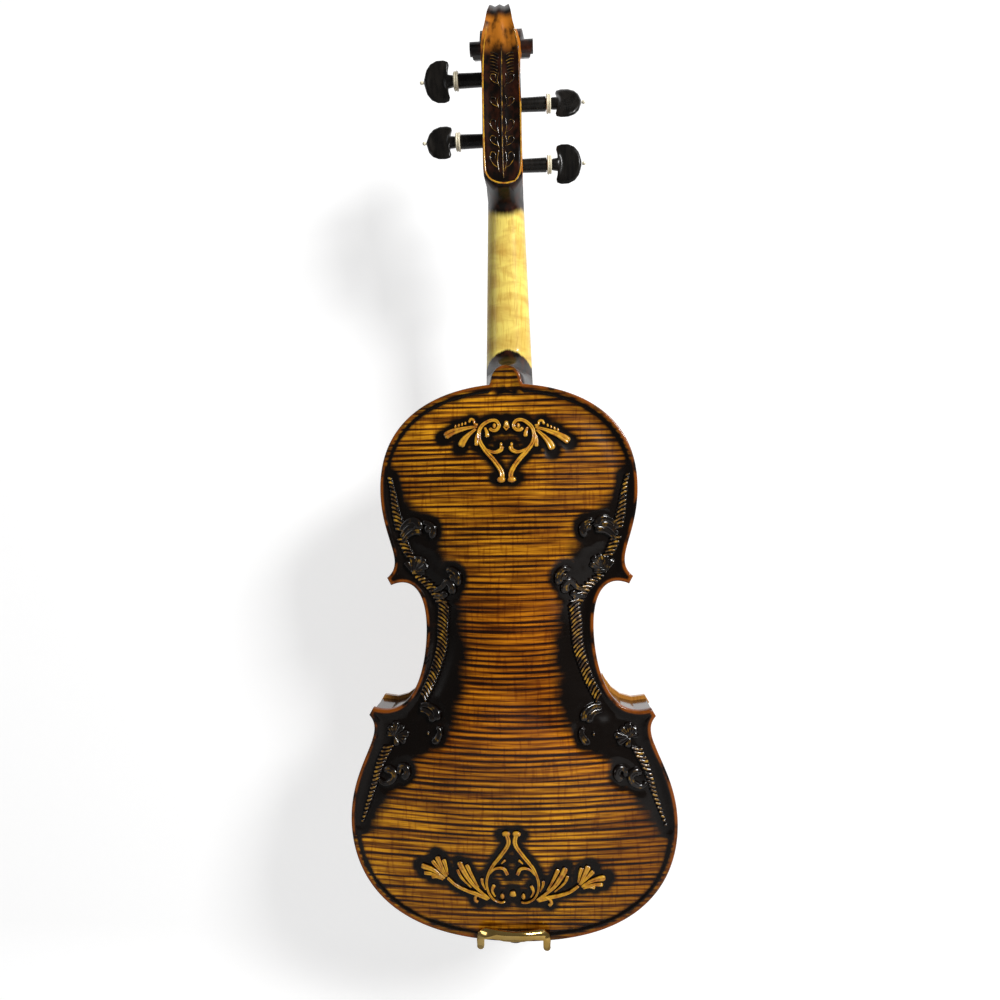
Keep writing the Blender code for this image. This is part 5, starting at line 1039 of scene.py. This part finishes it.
@dataclass
class Ornament:
    """A carved ornament, drawn by its strokes on the left half and mirrored."""

    name: str
    gilding: Gilding
    droop: float = 0.0
    strokes: list[Stroke] = field(default_factory=list)

    def draw(self, pixels: Points, width: float, height: float, **shape: float) -> None:
        """Adds a stroke and its mirror image.

        Args:
            pixels: Its path in the photograph.
            width: Its greatest half width in pixels of the photograph.
            height: Its height in metres.
            shape: Its tip, root and groove, where they differ from the usual.
        """
        half = width * PIXEL_ON_PLATE
        points = on_plate(pixels)
        length = np.linalg.norm(np.diff(points, axis=0), axis=1).sum()
        steps = int(np.clip(length / 0.0007, 8, 60))
        for side in (1.0, -1.0):
            mirrored = points * [side, 1.0]
            if side < 0:
                mirrored[:, 1] -= self.droop * np.maximum(np.abs(mirrored[:, 0]) - 0.012, 0.0)
            self.strokes.append(Stroke(Stroke.through(mirrored, steps), half, height, **shape))

    def bead(self, x: float, y: float, radius: float, height: float) -> None:
        """Adds a round bead and its mirror image.

        Args:
            x: Its place in the photograph.
            y: Its place in the photograph.
            radius: Its radius in pixels.
            height: Its height in metres.
        """
        reach = 0.8 * radius
        self.draw([(x - reach, y), (x + reach, y)], radius, height, root=1.0)

    def rope(self, pixels: Points, widths: tuple[float, float], gap: float, slant: float) -> None:
        """Adds a leaf along a line, ribbed by short strokes across it.

        Args:
            pixels: The line in the photograph.
            widths: The leaf's half width at its two ends, in pixels.
            gap: The distance from rib to rib, in pixels.
            slant: How far a rib's end runs ahead along the line, as a share of the half width.
        """
        line = np.array(pixels, float)
        length = np.linalg.norm(np.diff(line, axis=0), axis=1).sum()
        count = max(int(length / gap), 2)
        path = Stroke.through(line, count)
        run = np.gradient(path, axis=0)
        run /= np.linalg.norm(run, axis=1)[:, None]
        across = np.stack([-run[:, 1], run[:, 0]], 1)
        wide = max(widths)
        self.draw(pixels, wide * 0.85, 0.0007, root=widths[0] / wide, tip=widths[1] / wide)
        for i, (place, along, side) in enumerate(zip(path, run, across)):
            half = widths[0] + (widths[1] - widths[0]) * i / count
            lean = slant * half
            ends = [
                tuple(place - half * side - lean * along),
                tuple(place + 0.35 * lean * along),
                tuple(place + half * side + lean * along),
            ]
            self.draw(ends, 0.46 * gap, 0.0021, root=0.8)

    def build(self, plate: Plate) -> bpy.types.Object:
        """Makes all the strokes as one piece.

        Args:
            plate: The surface that they stand on.

        Returns:
            The ornament.
        """
        points, faces, crests = [], [], []
        offset = 0
        for stroke in self.strokes:
            new_points, quads, crest = stroke.mesh(plate, plate.ground_depth)
            last = len(new_points) - SECTION
            caps = [list(range(start, start + SECTION)) for start in (offset, offset + last)]
            faces += (quads + offset).tolist() + caps
            points.append(new_points)
            crests.append(crest)
            offset += len(new_points)
        piece = mesh_object(self.name, np.concatenate(points) + ORIGIN, faces, 75)
        outward(piece)
        add_attribute(piece, "crest", np.concatenate(crests))
        piece.data.materials.append(CarvedVarnish(f"{self.name}_varnish", self.gilding).material())
        return piece


def top_motif() -> Ornament:
    """The acanthus spray under the button.

    Returns:
        The ornament, its strokes drawn.
    """
    motif = Ornament("carving_top_spray", Gilding.MOTIF, droop=0.17)
    tall = 0.0019
    stem = [
        (489.0, 427.5), (492.0, 430.5), (496.5, 430.0), (499.0, 425.5), (495.8, 420.8),
        (488.9, 421.2),
    ]
    stem += [(481.6, 426.1), (478.8, 432.5), (479.8, 441.7), (486.2, 451.8), (494.4, 461.0), (501.0, 471.0)]
    motif.draw(stem + [(502.4, 479.4)], 2.3, tall, root=0.7, groove=0.45)
    motif.bead(494.2, 426.0, 2.8, 0.0021)
    motif.draw([(497.0, 478.0), (501.0, 480.0), (505.0, 477.6)], 2.9, tall, root=0.9)
    motif.draw(
        [(478.0, 426.5), (466.5, 428.3), (453.0, 432.0), (443.8, 437.2)],
        3.6, tall, root=0.35, groove=0.45,
    )
    motif.draw(
        [(476.5, 428.5), (468.0, 435.5), (463.0, 441.5), (460.6, 447.6)],
        3.6, tall, root=0.35, groove=0.45,
    )
    motif.draw([(480.0, 429.0), (476.6, 437.0), (476.4, 446.5)], 2.0, 0.0015, root=0.5, groove=0.3)
    motif.draw([(484.5, 427.0), (486.6, 432.0), (487.4, 438.0)], 2.2, 0.0016, root=0.5, groove=0.3)
    motif.draw(
        [(483.0, 446.5), (487.5, 450.2), (495.0, 452.4), (501.0, 449.6), (501.6, 445.4)],
        2.2, tall, groove=0.4,
    )
    motif.bead(501.0, 444.6, 2.3, 0.0019)
    motif.draw(
        [(478.5, 425.0), (474.5, 424.0), (473.8, 420.5), (470.6, 419.3), (468.6, 423.2)],
        1.3, 0.0014, root=0.9,
    )
    for i in range(4):
        left = 465.6 - 3.3 * i
        top = 421.6 + 1.0 * i
        motif.draw([(left, top), (left - 0.7, top + 3.6)], 1.1, 0.0013, root=0.8)
    motif.draw([(506.6, 420.5), (506.8, 427.8)], 2.2, tall, root=0.5)
    motif.draw([(503.0, 426.2), (506.8, 430.6)], 0.9, 0.0013, root=0.8)
    return motif


def bottom_motif() -> Ornament:
    """The wider acanthus spray over the lower edge.

    Returns:
        The ornament, its strokes drawn.
    """
    motif = Ornament("carving_bottom_spray", Gilding.MOTIF, droop=0.13)
    tall = 0.0019
    stem = [
        (506.2, 833.0), (508.2, 843.5), (501.0, 855.2), (491.8, 866.9), (487.0, 878.6),
        (487.6, 889.1),
    ]
    stem += [(492.7, 898.2), (500.5, 902.0), (506.0, 901.0)]
    motif.draw(stem, 2.3, tall, root=0.9, tip=0.4, groove=0.45)
    motif.draw([(501.8, 835.0), (506.2, 833.4), (510.4, 835.4)], 2.4, tall, root=0.9)
    motif.draw(
        [(489.0, 874.0), (495.0, 868.6), (503.5, 868.4), (508.0, 875.5)],
        1.9, tall, groove=0.35,
    )
    motif.draw([(500.8, 863.8), (505.8, 859.6)], 1.4, 0.0014)
    motif.draw([(495.6, 897.0), (492.2, 890.4), (494.6, 884.2)], 1.7, 0.0016, groove=0.3)
    motif.bead(502.4, 896.0, 3.2, 0.0020)
    motif.draw([(513.4, 890.5), (513.5, 897.0)], 3.0, tall, root=0.6)
    trunk = [(489.0, 899.0), (477.0, 894.0), (466.6, 890.2), (456.2, 885.0), (447.0, 877.0)]
    motif.draw(trunk, 2.1, tall, root=1.0, tip=0.7, groove=0.4)
    lobes = [
        ([(447.0, 877.0), (441.0, 865.0), (436.7, 855.6)], 2.7),
        ([(446.0, 876.0), (438.0, 867.0), (431.8, 859.8)], 2.2),
        ([(448.0, 875.0), (445.6, 865.0), (443.0, 858.4)], 2.1),
        ([(445.5, 878.4), (433.5, 869.8), (420.6, 865.0)], 2.8),
        ([(443.0, 878.2), (433.4, 874.0), (423.4, 872.4)], 2.0),
        ([(444.0, 879.6), (437.0, 876.6), (431.0, 876.8)], 1.6),
        ([(490.0, 899.0), (479.7, 890.4), (470.5, 881.2), (462.9, 869.5), (458.8, 861.0)], 2.7),
        ([(479.0, 888.0), (472.6, 876.6), (466.2, 863.8)], 2.0),
        ([(472.0, 887.6), (461.6, 877.4), (457.2, 868.6)], 1.5),
        ([(486.0, 890.0), (482.4, 882.6), (481.8, 877.4)], 1.5),
    ]
    for path, width in lobes:
        motif.draw(path, width, tall, root=0.45, groove=0.4)
    motif.draw(
        [(481.5, 893.6), (476.4, 895.6), (475.2, 899.4), (478.6, 902.4)],
        1.9, tall, root=0.6,
    )
    return motif


def side_carving() -> Ornament:
    """The ribbed leaves, curls and shells that follow the waist and both corners.

    Returns:
        The ornament, its strokes drawn.
    """
    leaf = Ornament("carving_waist_leaves", Gilding.SIDE)
    tall = 0.0020
    leaf.rope(
        [(389.6, 479.0), (392.6, 491.6), (394.6, 504.5), (397.0, 517.3), (400.6, 531.0)],
        (2.4, 5.6), 4.2, -0.75,
    )
    leaf.rope([(402.6, 541.0), (406.0, 549.0), (410.5, 557.0)], (5.4, 4.6), 4.0, -0.7)
    leaf.rope(
        [(418.5, 577.0), (426.5, 583.5), (434.5, 592.0), (441.0, 602.0)],
        (3.6, 5.8), 4.0, -0.7,
    )
    leaf.rope(
        [
            (443.6, 604.0), (442.4, 626.1), (441.4, 645.7), (437.3, 662.2), (431.2, 680.3),
            (423.2, 697.0),
        ],
        (6.2, 5.0), 3.9, -0.7,
    )
    leaf.rope(
        [(388.0, 746.0), (379.5, 764.0), (373.6, 785.0), (368.0, 803.0), (362.6, 820.0)],
        (5.2, 1.8), 4.2, 0.7,
    )
    curls = [
        [(399.6, 531.5), (405.6, 523.4), (413.6, 520.6), (419.0, 525.0), (419.6, 530.6)],
        [(400.4, 538.0), (406.0, 530.0), (411.6, 526.6), (417.0, 528.6)],
        [(402.0, 543.0), (407.6, 535.8), (414.6, 531.6), (422.6, 531.4)],
        [(422.2, 522.2), (428.0, 523.4), (433.0, 528.0), (432.4, 534.4), (428.8, 537.0)],
        [(424.4, 526.2), (427.8, 528.8), (428.4, 533.4)],
        [(432.7, 591.6), (440.6, 588.0), (446.6, 581.8), (451.8, 586.6), (451.6, 594.8)],
        [(433.0, 596.4), (441.0, 596.6), (446.8, 591.4)],
        [(445.8, 571.6), (451.0, 569.4), (456.4, 573.8), (457.6, 580.6), (455.2, 585.4)],
        [(448.6, 574.6), (452.6, 577.4), (453.4, 582.4)],
        [(419.8, 704.6), (428.8, 705.4), (436.2, 712.0), (436.6, 721.0)],
        [(419.0, 709.4), (426.6, 710.8), (431.8, 716.4), (431.4, 722.4)],
        [(437.4, 725.4), (439.8, 732.6), (436.0, 740.0), (431.6, 738.4)],
        [(378.6, 778.6), (384.6, 783.0), (392.4, 780.0), (394.2, 772.8), (388.4, 769.0), (385.6, 773.4)],
        [(398.6, 774.6), (400.4, 766.8), (405.2, 766.6), (406.8, 773.0), (401.6, 778.4)],
    ]
    for path in curls:
        leaf.draw(path, 4.0, 0.0027, root=0.6, groove=0.2)
    shells = [
        (
            (413.0, 573.0),
            [
                (405.6, 560.4), (412.6, 555.6), (419.4, 555.0), (425.4, 557.8), (428.2, 564.8),
                (425.6, 571.8),
            ],
        ),
        (
            (394.6, 735.0),
            [
                (386.0, 733.0), (388.6, 724.6), (396.0, 720.6), (403.6, 725.0), (409.6, 733.0),
                (406.6, 742.0), (397.4, 746.4),
            ],
        ),
    ]
    for centre, tips in shells:
        for tip in tips:
            leaf.draw([centre, tip], 3.8, 0.0025, root=0.35, groove=0.25)
        leaf.bead(centre[0], centre[1], 2.4, 0.0022)
    leaf.bead(428.4, 733.0, 2.2, 0.0018)
    leaf.bead(406.0, 563.0, 1.6, 0.0016)
    return leaf


@dataclass
class Engraving:
    """Fine raised lines on the pegbox's back, laid where the camera sees them."""

    name: str
    gilding: Gilding
    paths: list[tuple[Points, float, float]] = field(default_factory=list)

    def hits(self, tree: BVHTree, pixels: Points) -> tuple[np.ndarray, np.ndarray]:
        """Casts the camera's rays through pixels.

        Args:
            tree: The surface.
            pixels: Places in the photograph.

        Returns:
            The points met and the surface's normals there.
        """
        places, normals = [], []
        for x, y in pixels:
            ray = CAMERA_FORWARD + (x - IMAGE_CENTRE) / FOCAL_PIXELS * CAMERA_RIGHT
            ray = ray + (y - IMAGE_CENTRE) / FOCAL_PIXELS * CAMERA_DOWN
            place, normal, _, _ = tree.ray_cast(Vector(CAMERA_PLACE + ORIGIN), Vector(ray).normalized())
            if place is not None:
                places.append(place)
                normals.append(normal)
        return np.array(places), np.array(normals)

    def build(self, base: bpy.types.Object) -> bpy.types.Object:
        """Sweeps a crowned section along each line: a half circle's height over the line's width.

        Args:
            base: The object that carries the lines.

        Returns:
            The lines as one piece.
        """
        work = bmesh.new()
        work.from_mesh(base.data)
        tree = BVHTree.FromBMesh(work)
        work.free()
        points, faces, crests, offset = [], [], [], 0
        for pixels, width, height in self.paths:
            line = Stroke.through(np.array(pixels, float) - [HEAD_SHIFT, 0.0], 4 * len(pixels))
            place, normal = self.hits(tree, line.tolist())
            if len(place) < 4:
                continue
            run = np.gradient(place, axis=0)
            run /= np.maximum(np.linalg.norm(run, axis=1)[:, None], 1e-9)
            normal = normal - (normal * run).sum(1)[:, None] * run
            normal /= np.maximum(np.linalg.norm(normal, axis=1)[:, None], 1e-9)
            side = np.cross(run, normal)
            share = np.linspace(-1, 1, len(place))
            taper = np.sqrt(np.clip(1.001 - share**4, 0.03, 1))
            angle = np.linspace(0, math.pi, 7)
            across = np.concatenate([np.cos(angle), [-0.8, 0.8]]) * width * PIXEL_ON_HEAD
            up = np.concatenate([np.sin(angle) * height, [-0.0006, -0.0006]])
            grid = place[:, None] + side[:, None] * (taper[:, None] * across)[..., None]
            grid = grid + normal[:, None] * (taper[:, None] * up)[..., None]
            points.append(grid.reshape(-1, 3))
            crests.append(np.tile(np.clip(up / height, 0, 1), len(place)))
            faces += [[v + offset for v in face] for face in ring_faces(len(place), 9)]
            offset += len(place) * 9
        piece = mesh_object(self.name, np.concatenate(points), faces, 60)
        outward(piece)
        add_attribute(piece, "crest", np.concatenate(crests))
        piece.data.materials.append(CarvedVarnish(f"{self.name}_varnish", self.gilding).material())
        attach(piece, ROOT)
        return piece


def head_engraving() -> Engraving:
    """The curls and the flame lines along the pegbox's back.

    Returns:
        The engraving, its lines drawn.
    """
    work = Engraving("pegbox_engraving", Gilding.SIDE)
    for middle, reach in ((79.0, 5.0), (102.0, 5.0), (126.0, 6.5), (141.0, 5.0), (160.0, 8.0)):
        for side in (-1.0, 1.0):
            axis = 505.6
            curl = [(axis + side * 3.2, middle + reach), (axis + side * 8.5, middle + 0.55 * reach)]
            curl += [(axis + side * 12.0, middle - 0.25 * reach), (axis + side * 10.4, middle - reach)]
            curl += [(axis + side * 6.6, middle - 0.8 * reach), (axis + side * 6.8, middle - 0.1 * reach)]
            work.paths.append((curl, 0.75, 0.0005))
            leaf = [
                (axis + side * 2.6, middle + 1.5 * reach),
                (axis + side * 4.6, middle + 0.1 * reach),
            ]
            work.paths.append((leaf + [(axis + side * 3.0, middle - 1.3 * reach)], 0.7, 0.00045))
    for row in np.arange(52.0, 74.0, 3.2):
        for side in (-1.0, 1.0):
            line = [
                (505.4 + side * 4.0, row + 2.4), (505.4 + side * 8.0, row + 0.4),
                (505.4 + side * 12.0, row),
            ]
            work.paths.append((line, 0.6, 0.0003))
    spine = [(505.0, 46.0), (505.2, 80.0), (505.6, 120.0), (506.4, 160.0), (507.4, 178.0)]
    work.paths.append((spine, 1.1, 0.0009))
    return work


def head_border() -> Engraving:
    """The amber line round the pegbox's back and the ridge along its middle.

    Returns:
        The engraving, its lines drawn.
    """
    work = Engraving("pegbox_border", Gilding.MOTIF)
    left = [
        (490.4, 26.0), (487.6, 44.0), (486.4, 66.0), (486.3, 95.0), (486.9, 125.0), (487.6, 150.0),
        (488.4, 166.0),
    ]
    chin = [
        (490.0, 174.0), (494.4, 179.4), (501.0, 182.4), (508.0, 183.2), (515.0, 182.0),
        (520.6, 178.4), (523.6, 172.0),
    ]
    right = [
        (524.8, 160.0), (524.6, 140.0), (524.2, 110.0), (523.6, 80.0), (522.8, 60.0),
        (520.8, 42.0), (517.2, 26.0),
    ]
    work.paths.append((left + chin + right, 0.95, 0.0006))
    return work


@dataclass
class Peg:
    """One tuning peg: a tapered shaft and a heart-shaped thumb piece with a raised border."""

    string: str
    height: float
    depth: float
    side: float
    turn: float
    shaft: float = 0.0043
    taper: float = 1 / 60
    collar_start: float = 0.0284
    collar_width: float = 0.003
    journal: float = 0.00341
    head_length: float = 0.0188
    breadth: float = 0.0252
    thickness: float = 0.0062

    def place(self, points: np.ndarray) -> np.ndarray:
        """Turns points about the peg's axis and moves them to it.

        Args:
            points: Points along +x from the neck's middle plane.

        Returns:
            The points in the model's frame.
        """
        c, s = math.cos(self.turn), math.sin(self.turn)
        x, y, z = points.T
        turned = np.stack([x, c * y - s * z, s * y + c * z], 1)
        if self.side < 0:
            turned = turned * [-1.0, -1.0, 1.0]
        return turned + np.array([0.0, self.depth, self.height]) + ORIGIN

    def build(self) -> bpy.types.Object:
        """Makes the peg as a grid of rings along its axis.

        The head's outline follows a heart: each ring is swept back by the square of the cosine,
        so that its two lobes overhang the shaft, and a ridge runs where the breadth is greatest.

        Returns:
            The peg.
        """
        low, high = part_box(f"peg_{self.string}")
        tip = -high.x if self.side < 0 else low.x
        angle = np.linspace(0, 2 * math.pi, 65)[:-1]
        cos, sin = np.cos(angle), np.sin(angle)
        neck_radius = self.shaft - self.taper * 0.0128
        rows = []
        for along, radius in (
            (tip, 0.80 * (neck_radius + self.taper * tip)),
            (tip + 0.0004, neck_radius + self.taper * (tip + 0.0004)),
            (self.collar_start - 0.0008, neck_radius + self.taper * self.collar_start),
            (self.collar_start - 0.0003, 0.96 * (neck_radius + self.taper * self.collar_start)),
            (self.collar_start - 0.0003, self.journal),
            (self.collar_start + self.collar_width + 0.0003, self.journal),
        ):
            rows.append(np.stack([np.full(64, along), radius * sin, radius * cos], 1))
        start = self.collar_start + self.collar_width + 0.0006
        share = np.linspace(0.02, 1.0, 34)
        places = [0.02, 0.17, 0.23, 0.29, 0.37, 0.50, 0.65, 0.80, 0.92, 1.0]
        sweep = np.interp(share, places, [0.0, 0.0, 0.07, 0.17, 0.22, 0.20, 0.10, 0.03, 0.0, 0.0])
        wide = np.interp(share, places, [0.29, 0.33, 0.52, 0.76, 0.92, 1.00, 0.99, 0.84, 0.56, 0.15])
        thick = np.interp(share, places, [0.60, 0.56, 0.50, 0.46, 0.44, 0.45, 0.46, 0.44, 0.36, 0.20])
        for s, back, b, t in zip(share, sweep, wide, thick):
            hollow = 0.42 * smooth(np.array((b - 0.5) / 0.4)) * np.exp(-((cos / 0.72) ** 4))
            hollow = 1 - hollow * np.abs(sin)
            x = start + s * self.head_length - back * self.head_length * cos**2
            rows.append(np.stack([x, t * self.thickness * sin * hollow, b * self.breadth / 2 * cos], 1))
        points = self.place(np.concatenate(rows))
        piece = mesh_object(f"peg_{self.string}_turned", points, ring_faces(len(rows), 64), 50)
        outward(piece)
        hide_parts(f"peg_{self.string}")
        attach(piece, f"peg_{self.string}")
        piece.data.materials.append(MATERIALS["ebony"])
        return piece

    def collar(self) -> bpy.types.Object:
        """Makes the cream collar as a turned double bead.

        Returns:
            The collar.
        """
        low = self.collar_start
        t = np.linspace(0, 1, 17)
        bead = 0.0056 + 0.0006 * np.abs(np.sin(2 * math.pi * t)) - 0.0004 * t
        bore = self.journal + 0.0003
        along = np.concatenate([[low], low + self.collar_width * t, [low + self.collar_width]])
        radius = np.concatenate([[bore], bead, [bore]])
        angle = np.linspace(0, 2 * math.pi, 49)[:-1]
        rows = [
            np.stack([np.full(48, a), r * np.sin(angle), r * np.cos(angle)], 1)
            for a, r in zip(along, radius)
        ]
        faces = ring_faces(len(rows), 48, closed=True)
        points = self.place(np.concatenate(rows))
        piece = mesh_object(f"peg_collar_{self.string}_turned", points, faces, 50)
        outward(piece)
        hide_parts(f"peg_collar_{self.string}")
        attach(piece, f"peg_{self.string}")
        piece.data.materials.append(MATERIALS["bone"])
        return piece


def ring_faces(rows: int, ring: int, closed: bool = False) -> list:
    """Faces of a tube of rings, capped or closed on itself.

    Args:
        rows: How many rings.
        ring: Points in a ring.
        closed: Whether the last ring joins the first, in place of two caps.

    Returns:
        Lists of point numbers.
    """
    index = np.arange(rows * ring).reshape(rows, ring)
    low = index if closed else index[:-1]
    high = np.roll(index, -1, axis=0) if closed else index[1:]
    quads = np.stack([low, np.roll(low, -1, axis=1), np.roll(high, -1, axis=1), high], -1)
    quads = quads.reshape(-1, 4)
    caps = [] if closed else [index[0].tolist(), index[-1].tolist()]
    return quads.tolist() + caps


MATERIALS: dict[str, bpy.types.Material] = {}


@dataclass
class Dresser:
    """Gives the construction's own nodes their finishes."""

    frame: dict

    def dress(self) -> None:
        """Assigns each node the finish of its slot."""
        slots = {part["node"]: part["material_slot"] for part in self.frame["record"]["subparts"]}
        for name, node in self.frame["nodes"].items():
            finish = slots[name]
            if finish not in MATERIALS:
                continue
            node.data.materials.clear()
            node.data.materials.append(MATERIALS[finish])
            LOG.info("dressed %s in %s", name, finish)

    def smooth_copy(
        self, name: str, material: bpy.types.Material, sharp: float
    ) -> bpy.types.Object:
        """A copy of a node with its points merged, so that it can be shaded smooth.

        Args:
            name: The node.
            material: Its finish.
            sharp: The angle in degrees over which an edge stays sharp.

        Returns:
            The copy, which stands for the node.
        """
        source = self.frame["nodes"][name]
        work = bmesh.new()
        work.from_mesh(source.data)
        bmesh.ops.remove_doubles(work, verts=work.verts, dist=2e-6)
        bmesh.ops.dissolve_degenerate(work, edges=work.edges, dist=1e-6)
        mesh = bpy.data.meshes.new(f"{name}_smooth")
        work.to_mesh(mesh)
        work.free()
        mesh.shade_smooth()
        mesh.set_sharp_from_angle(angle=math.radians(sharp))
        item = bpy.data.objects.new(f"{name}_smooth", mesh)
        bpy.context.scene.collection.objects.link(item)
        item.data.materials.clear()
        item.data.materials.append(material)
        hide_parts(name)
        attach(item, source["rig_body"])
        return item


@dataclass
class Studio:
    """The pale backdrop, the lights and the photograph's camera."""

    wall: float = 0.104
    floor: float = -0.62
    front: float = -1.2
    key_energy: float = 30.0
    fill_energy: float = 1.9
    glow: float = 0.70
    sky: float = 0.095
    sky_seen: float = 0.80
    sky_mirrored: float = 0.01

    def build(self) -> None:
        """Makes the backdrop, the lights, the world and the camera."""
        self.backdrop()
        self.light("key_light", (0.95, -1.05, 0.55), 0.38, self.key_energy)
        self.light("fill_light", (-1.4, -0.55, 0.1), 0.5, self.fill_energy)
        world = bpy.data.worlds.new("studio")
        world.use_nodes = True
        background = world.node_tree.nodes["Background"]
        background.inputs["Color"].default_value = (1.0, 1.0, 1.0, 1.0)
        ray = world.node_tree.nodes.new("ShaderNodeLightPath").outputs
        strength = None
        for name, share in (("Is Camera Ray", self.sky_seen), ("Is Glossy Ray", self.sky_mirrored)):
            sky = world.node_tree.nodes.new("ShaderNodeMath")
            sky.operation = "MULTIPLY_ADD"
            world.node_tree.links.new(ray[name], sky.inputs[0])
            sky.inputs[1].default_value = share
            sky.inputs[2].default_value = self.sky
            if strength is not None:
                world.node_tree.links.new(strength, sky.inputs[2])
            strength = sky.outputs["Value"]
        world.node_tree.links.new(strength, background.inputs["Strength"])
        bpy.context.scene.world = world
        bpy.context.scene.view_settings.view_transform = "Standard"
        self.camera()

    def backdrop(self) -> None:
        """A sheet that runs along the floor and bends up into the wall: a line, an arc and a line.

        Seen from behind it is clear, so that it doesn't hide the violin's front.
        """
        turn = np.linspace(0, math.pi / 2, 13)
        bend = 0.08
        y = np.concatenate([[self.front], self.wall - bend + bend * np.sin(turn), [self.wall]])
        z = np.concatenate([[self.floor], self.floor + bend - bend * np.cos(turn), [2.2]])
        points = np.stack([np.stack([np.full(len(y), x), y, z], 1) for x in (-3.0, 3.0)]).reshape(-1, 3)
        count = len(y)
        faces = [[i, count + i, count + i + 1, i + 1] for i in range(count - 1)]
        sheet = mesh_object("backdrop", points, faces)
        nodes = NodeTree("pale_backdrop")
        nodes.shader.inputs["Base Color"].default_value = (0.42, 0.42, 0.42, 1.0)
        nodes.shader.inputs["Emission Color"].default_value = (1.0, 1.0, 1.0, 1.0)
        ray = nodes.tree.nodes.new("ShaderNodeLightPath").outputs
        upright = nodes.stepped(nodes.axis("Z"), self.floor, self.floor + 0.12)
        seen = nodes.maths("ADD", ray["Is Camera Ray"], ray["Is Transmission Ray"])
        seen = nodes.maths("ADD", seen, nodes.maths("MULTIPLY", ray["Is Glossy Ray"], upright))
        nodes.link(nodes.maths("MULTIPLY", seen, self.glow), nodes.shader.inputs["Emission Strength"])
        nodes.shader.inputs["Roughness"].default_value = 0.9
        clear = nodes.tree.nodes.new("ShaderNodeBsdfTransparent").outputs["BSDF"]
        behind = nodes.tree.nodes.new("ShaderNodeNewGeometry").outputs["Backfacing"]
        sides = nodes.tree.nodes.new("ShaderNodeMixShader")
        nodes.link(nodes.maths("MULTIPLY", behind, ray["Is Camera Ray"]), sides.inputs[0])
        nodes.link(nodes.shader.outputs["BSDF"], sides.inputs[1])
        nodes.link(clear, sides.inputs[2])
        nodes.link(sides.outputs["Shader"], nodes.tree.nodes["Material Output"].inputs["Surface"])
        sheet.data.materials.append(nodes.material)

    @staticmethod
    def light(name: str, place: tuple[float, float, float], size: float, energy: float) -> None:
        """Adds a square lamp that faces the violin.

        Args:
            name: Its name.
            place: Where it stands.
            size: Its side in metres.
            energy: Its power in watts.
        """
        data = bpy.data.lights.new(name, "AREA")
        data.size = size
        data.energy = energy
        lamp = bpy.data.objects.new(name, data)
        bpy.context.scene.collection.objects.link(lamp)
        lamp.location = place
        aim = Vector((0.0, 0.0, -0.2)) - Vector(place)
        lamp.rotation_euler = aim.to_track_quat("-Z", "Y").to_euler()

    @staticmethod
    def camera() -> None:
        """Sets the camera by its axes: right, up and backwards are the columns of its turn."""
        data = bpy.data.cameras.new("photo_camera")
        data.lens = LENS
        data.sensor_width = SENSOR
        data.clip_start = 0.01
        camera = bpy.data.objects.new("photo_camera", data)
        bpy.context.scene.collection.objects.link(camera)
        columns = np.stack([CAMERA_RIGHT, -CAMERA_DOWN, -CAMERA_FORWARD], 1)
        matrix = Matrix([[*row, 0.0] for row in columns.tolist()] + [[0.0, 0.0, 0.0, 1.0]])
        matrix.translation = Vector((CAMERA_PLACE + ORIGIN).tolist())
        camera.matrix_world = matrix
        bpy.context.scene.camera = camera


def carve(plate: Plate, ornaments: list[Ornament]) -> None:
    """Builds the ornaments and the plate that carries them.

    Args:
        plate: The plate.
        ornaments: The ornaments on it.
    """
    plate.strokes = [stroke for ornament in ornaments for stroke in ornament.strokes]
    back = plate.build()
    back.data.materials.append(FlameVarnish().material())
    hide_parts("back_plate")
    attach(back, ROOT)
    LOG.info("carved_back has %d faces", len(back.data.polygons))
    for ornament in ornaments:
        piece = ornament.build(plate)
        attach(piece, ROOT)
        LOG.info("%s has %d strokes", ornament.name, len(ornament.strokes))


def main() -> None:
    """Builds every piece, in order."""
    logging.basicConfig(level=logging.INFO, format="%(message)s")
    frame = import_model()
    for name, finish in FINISHES.items():
        MATERIALS[name] = finish.material()
    dresser = Dresser(frame)
    dresser.dress()
    neck = dresser.smooth_copy("neck", NeckFinish().material(), 32.0)
    head_engraving().build(neck)
    head_border().build(neck)
    dresser.smooth_copy("chinrest_lower_bracket", MATERIALS["gold"], 48.0)
    pegs = [
        Peg("g", 0.5015, 0.015467, 1.0, 0.10),
        Peg("e", 0.5182, 0.013347, -1.0, 0.25),
        Peg("d", 0.5388, 0.009978, 1.0, -0.42),
        Peg("a", 0.5544, 0.006084, -1.0, -0.25),
    ]
    for peg in pegs:
        peg.build()
        peg.collar()
        LOG.info("peg %s", peg.string)
    carve(Plate(), [top_motif(), bottom_motif(), side_carving()])
    Studio().build()


if __name__ == "__main__":
    main()
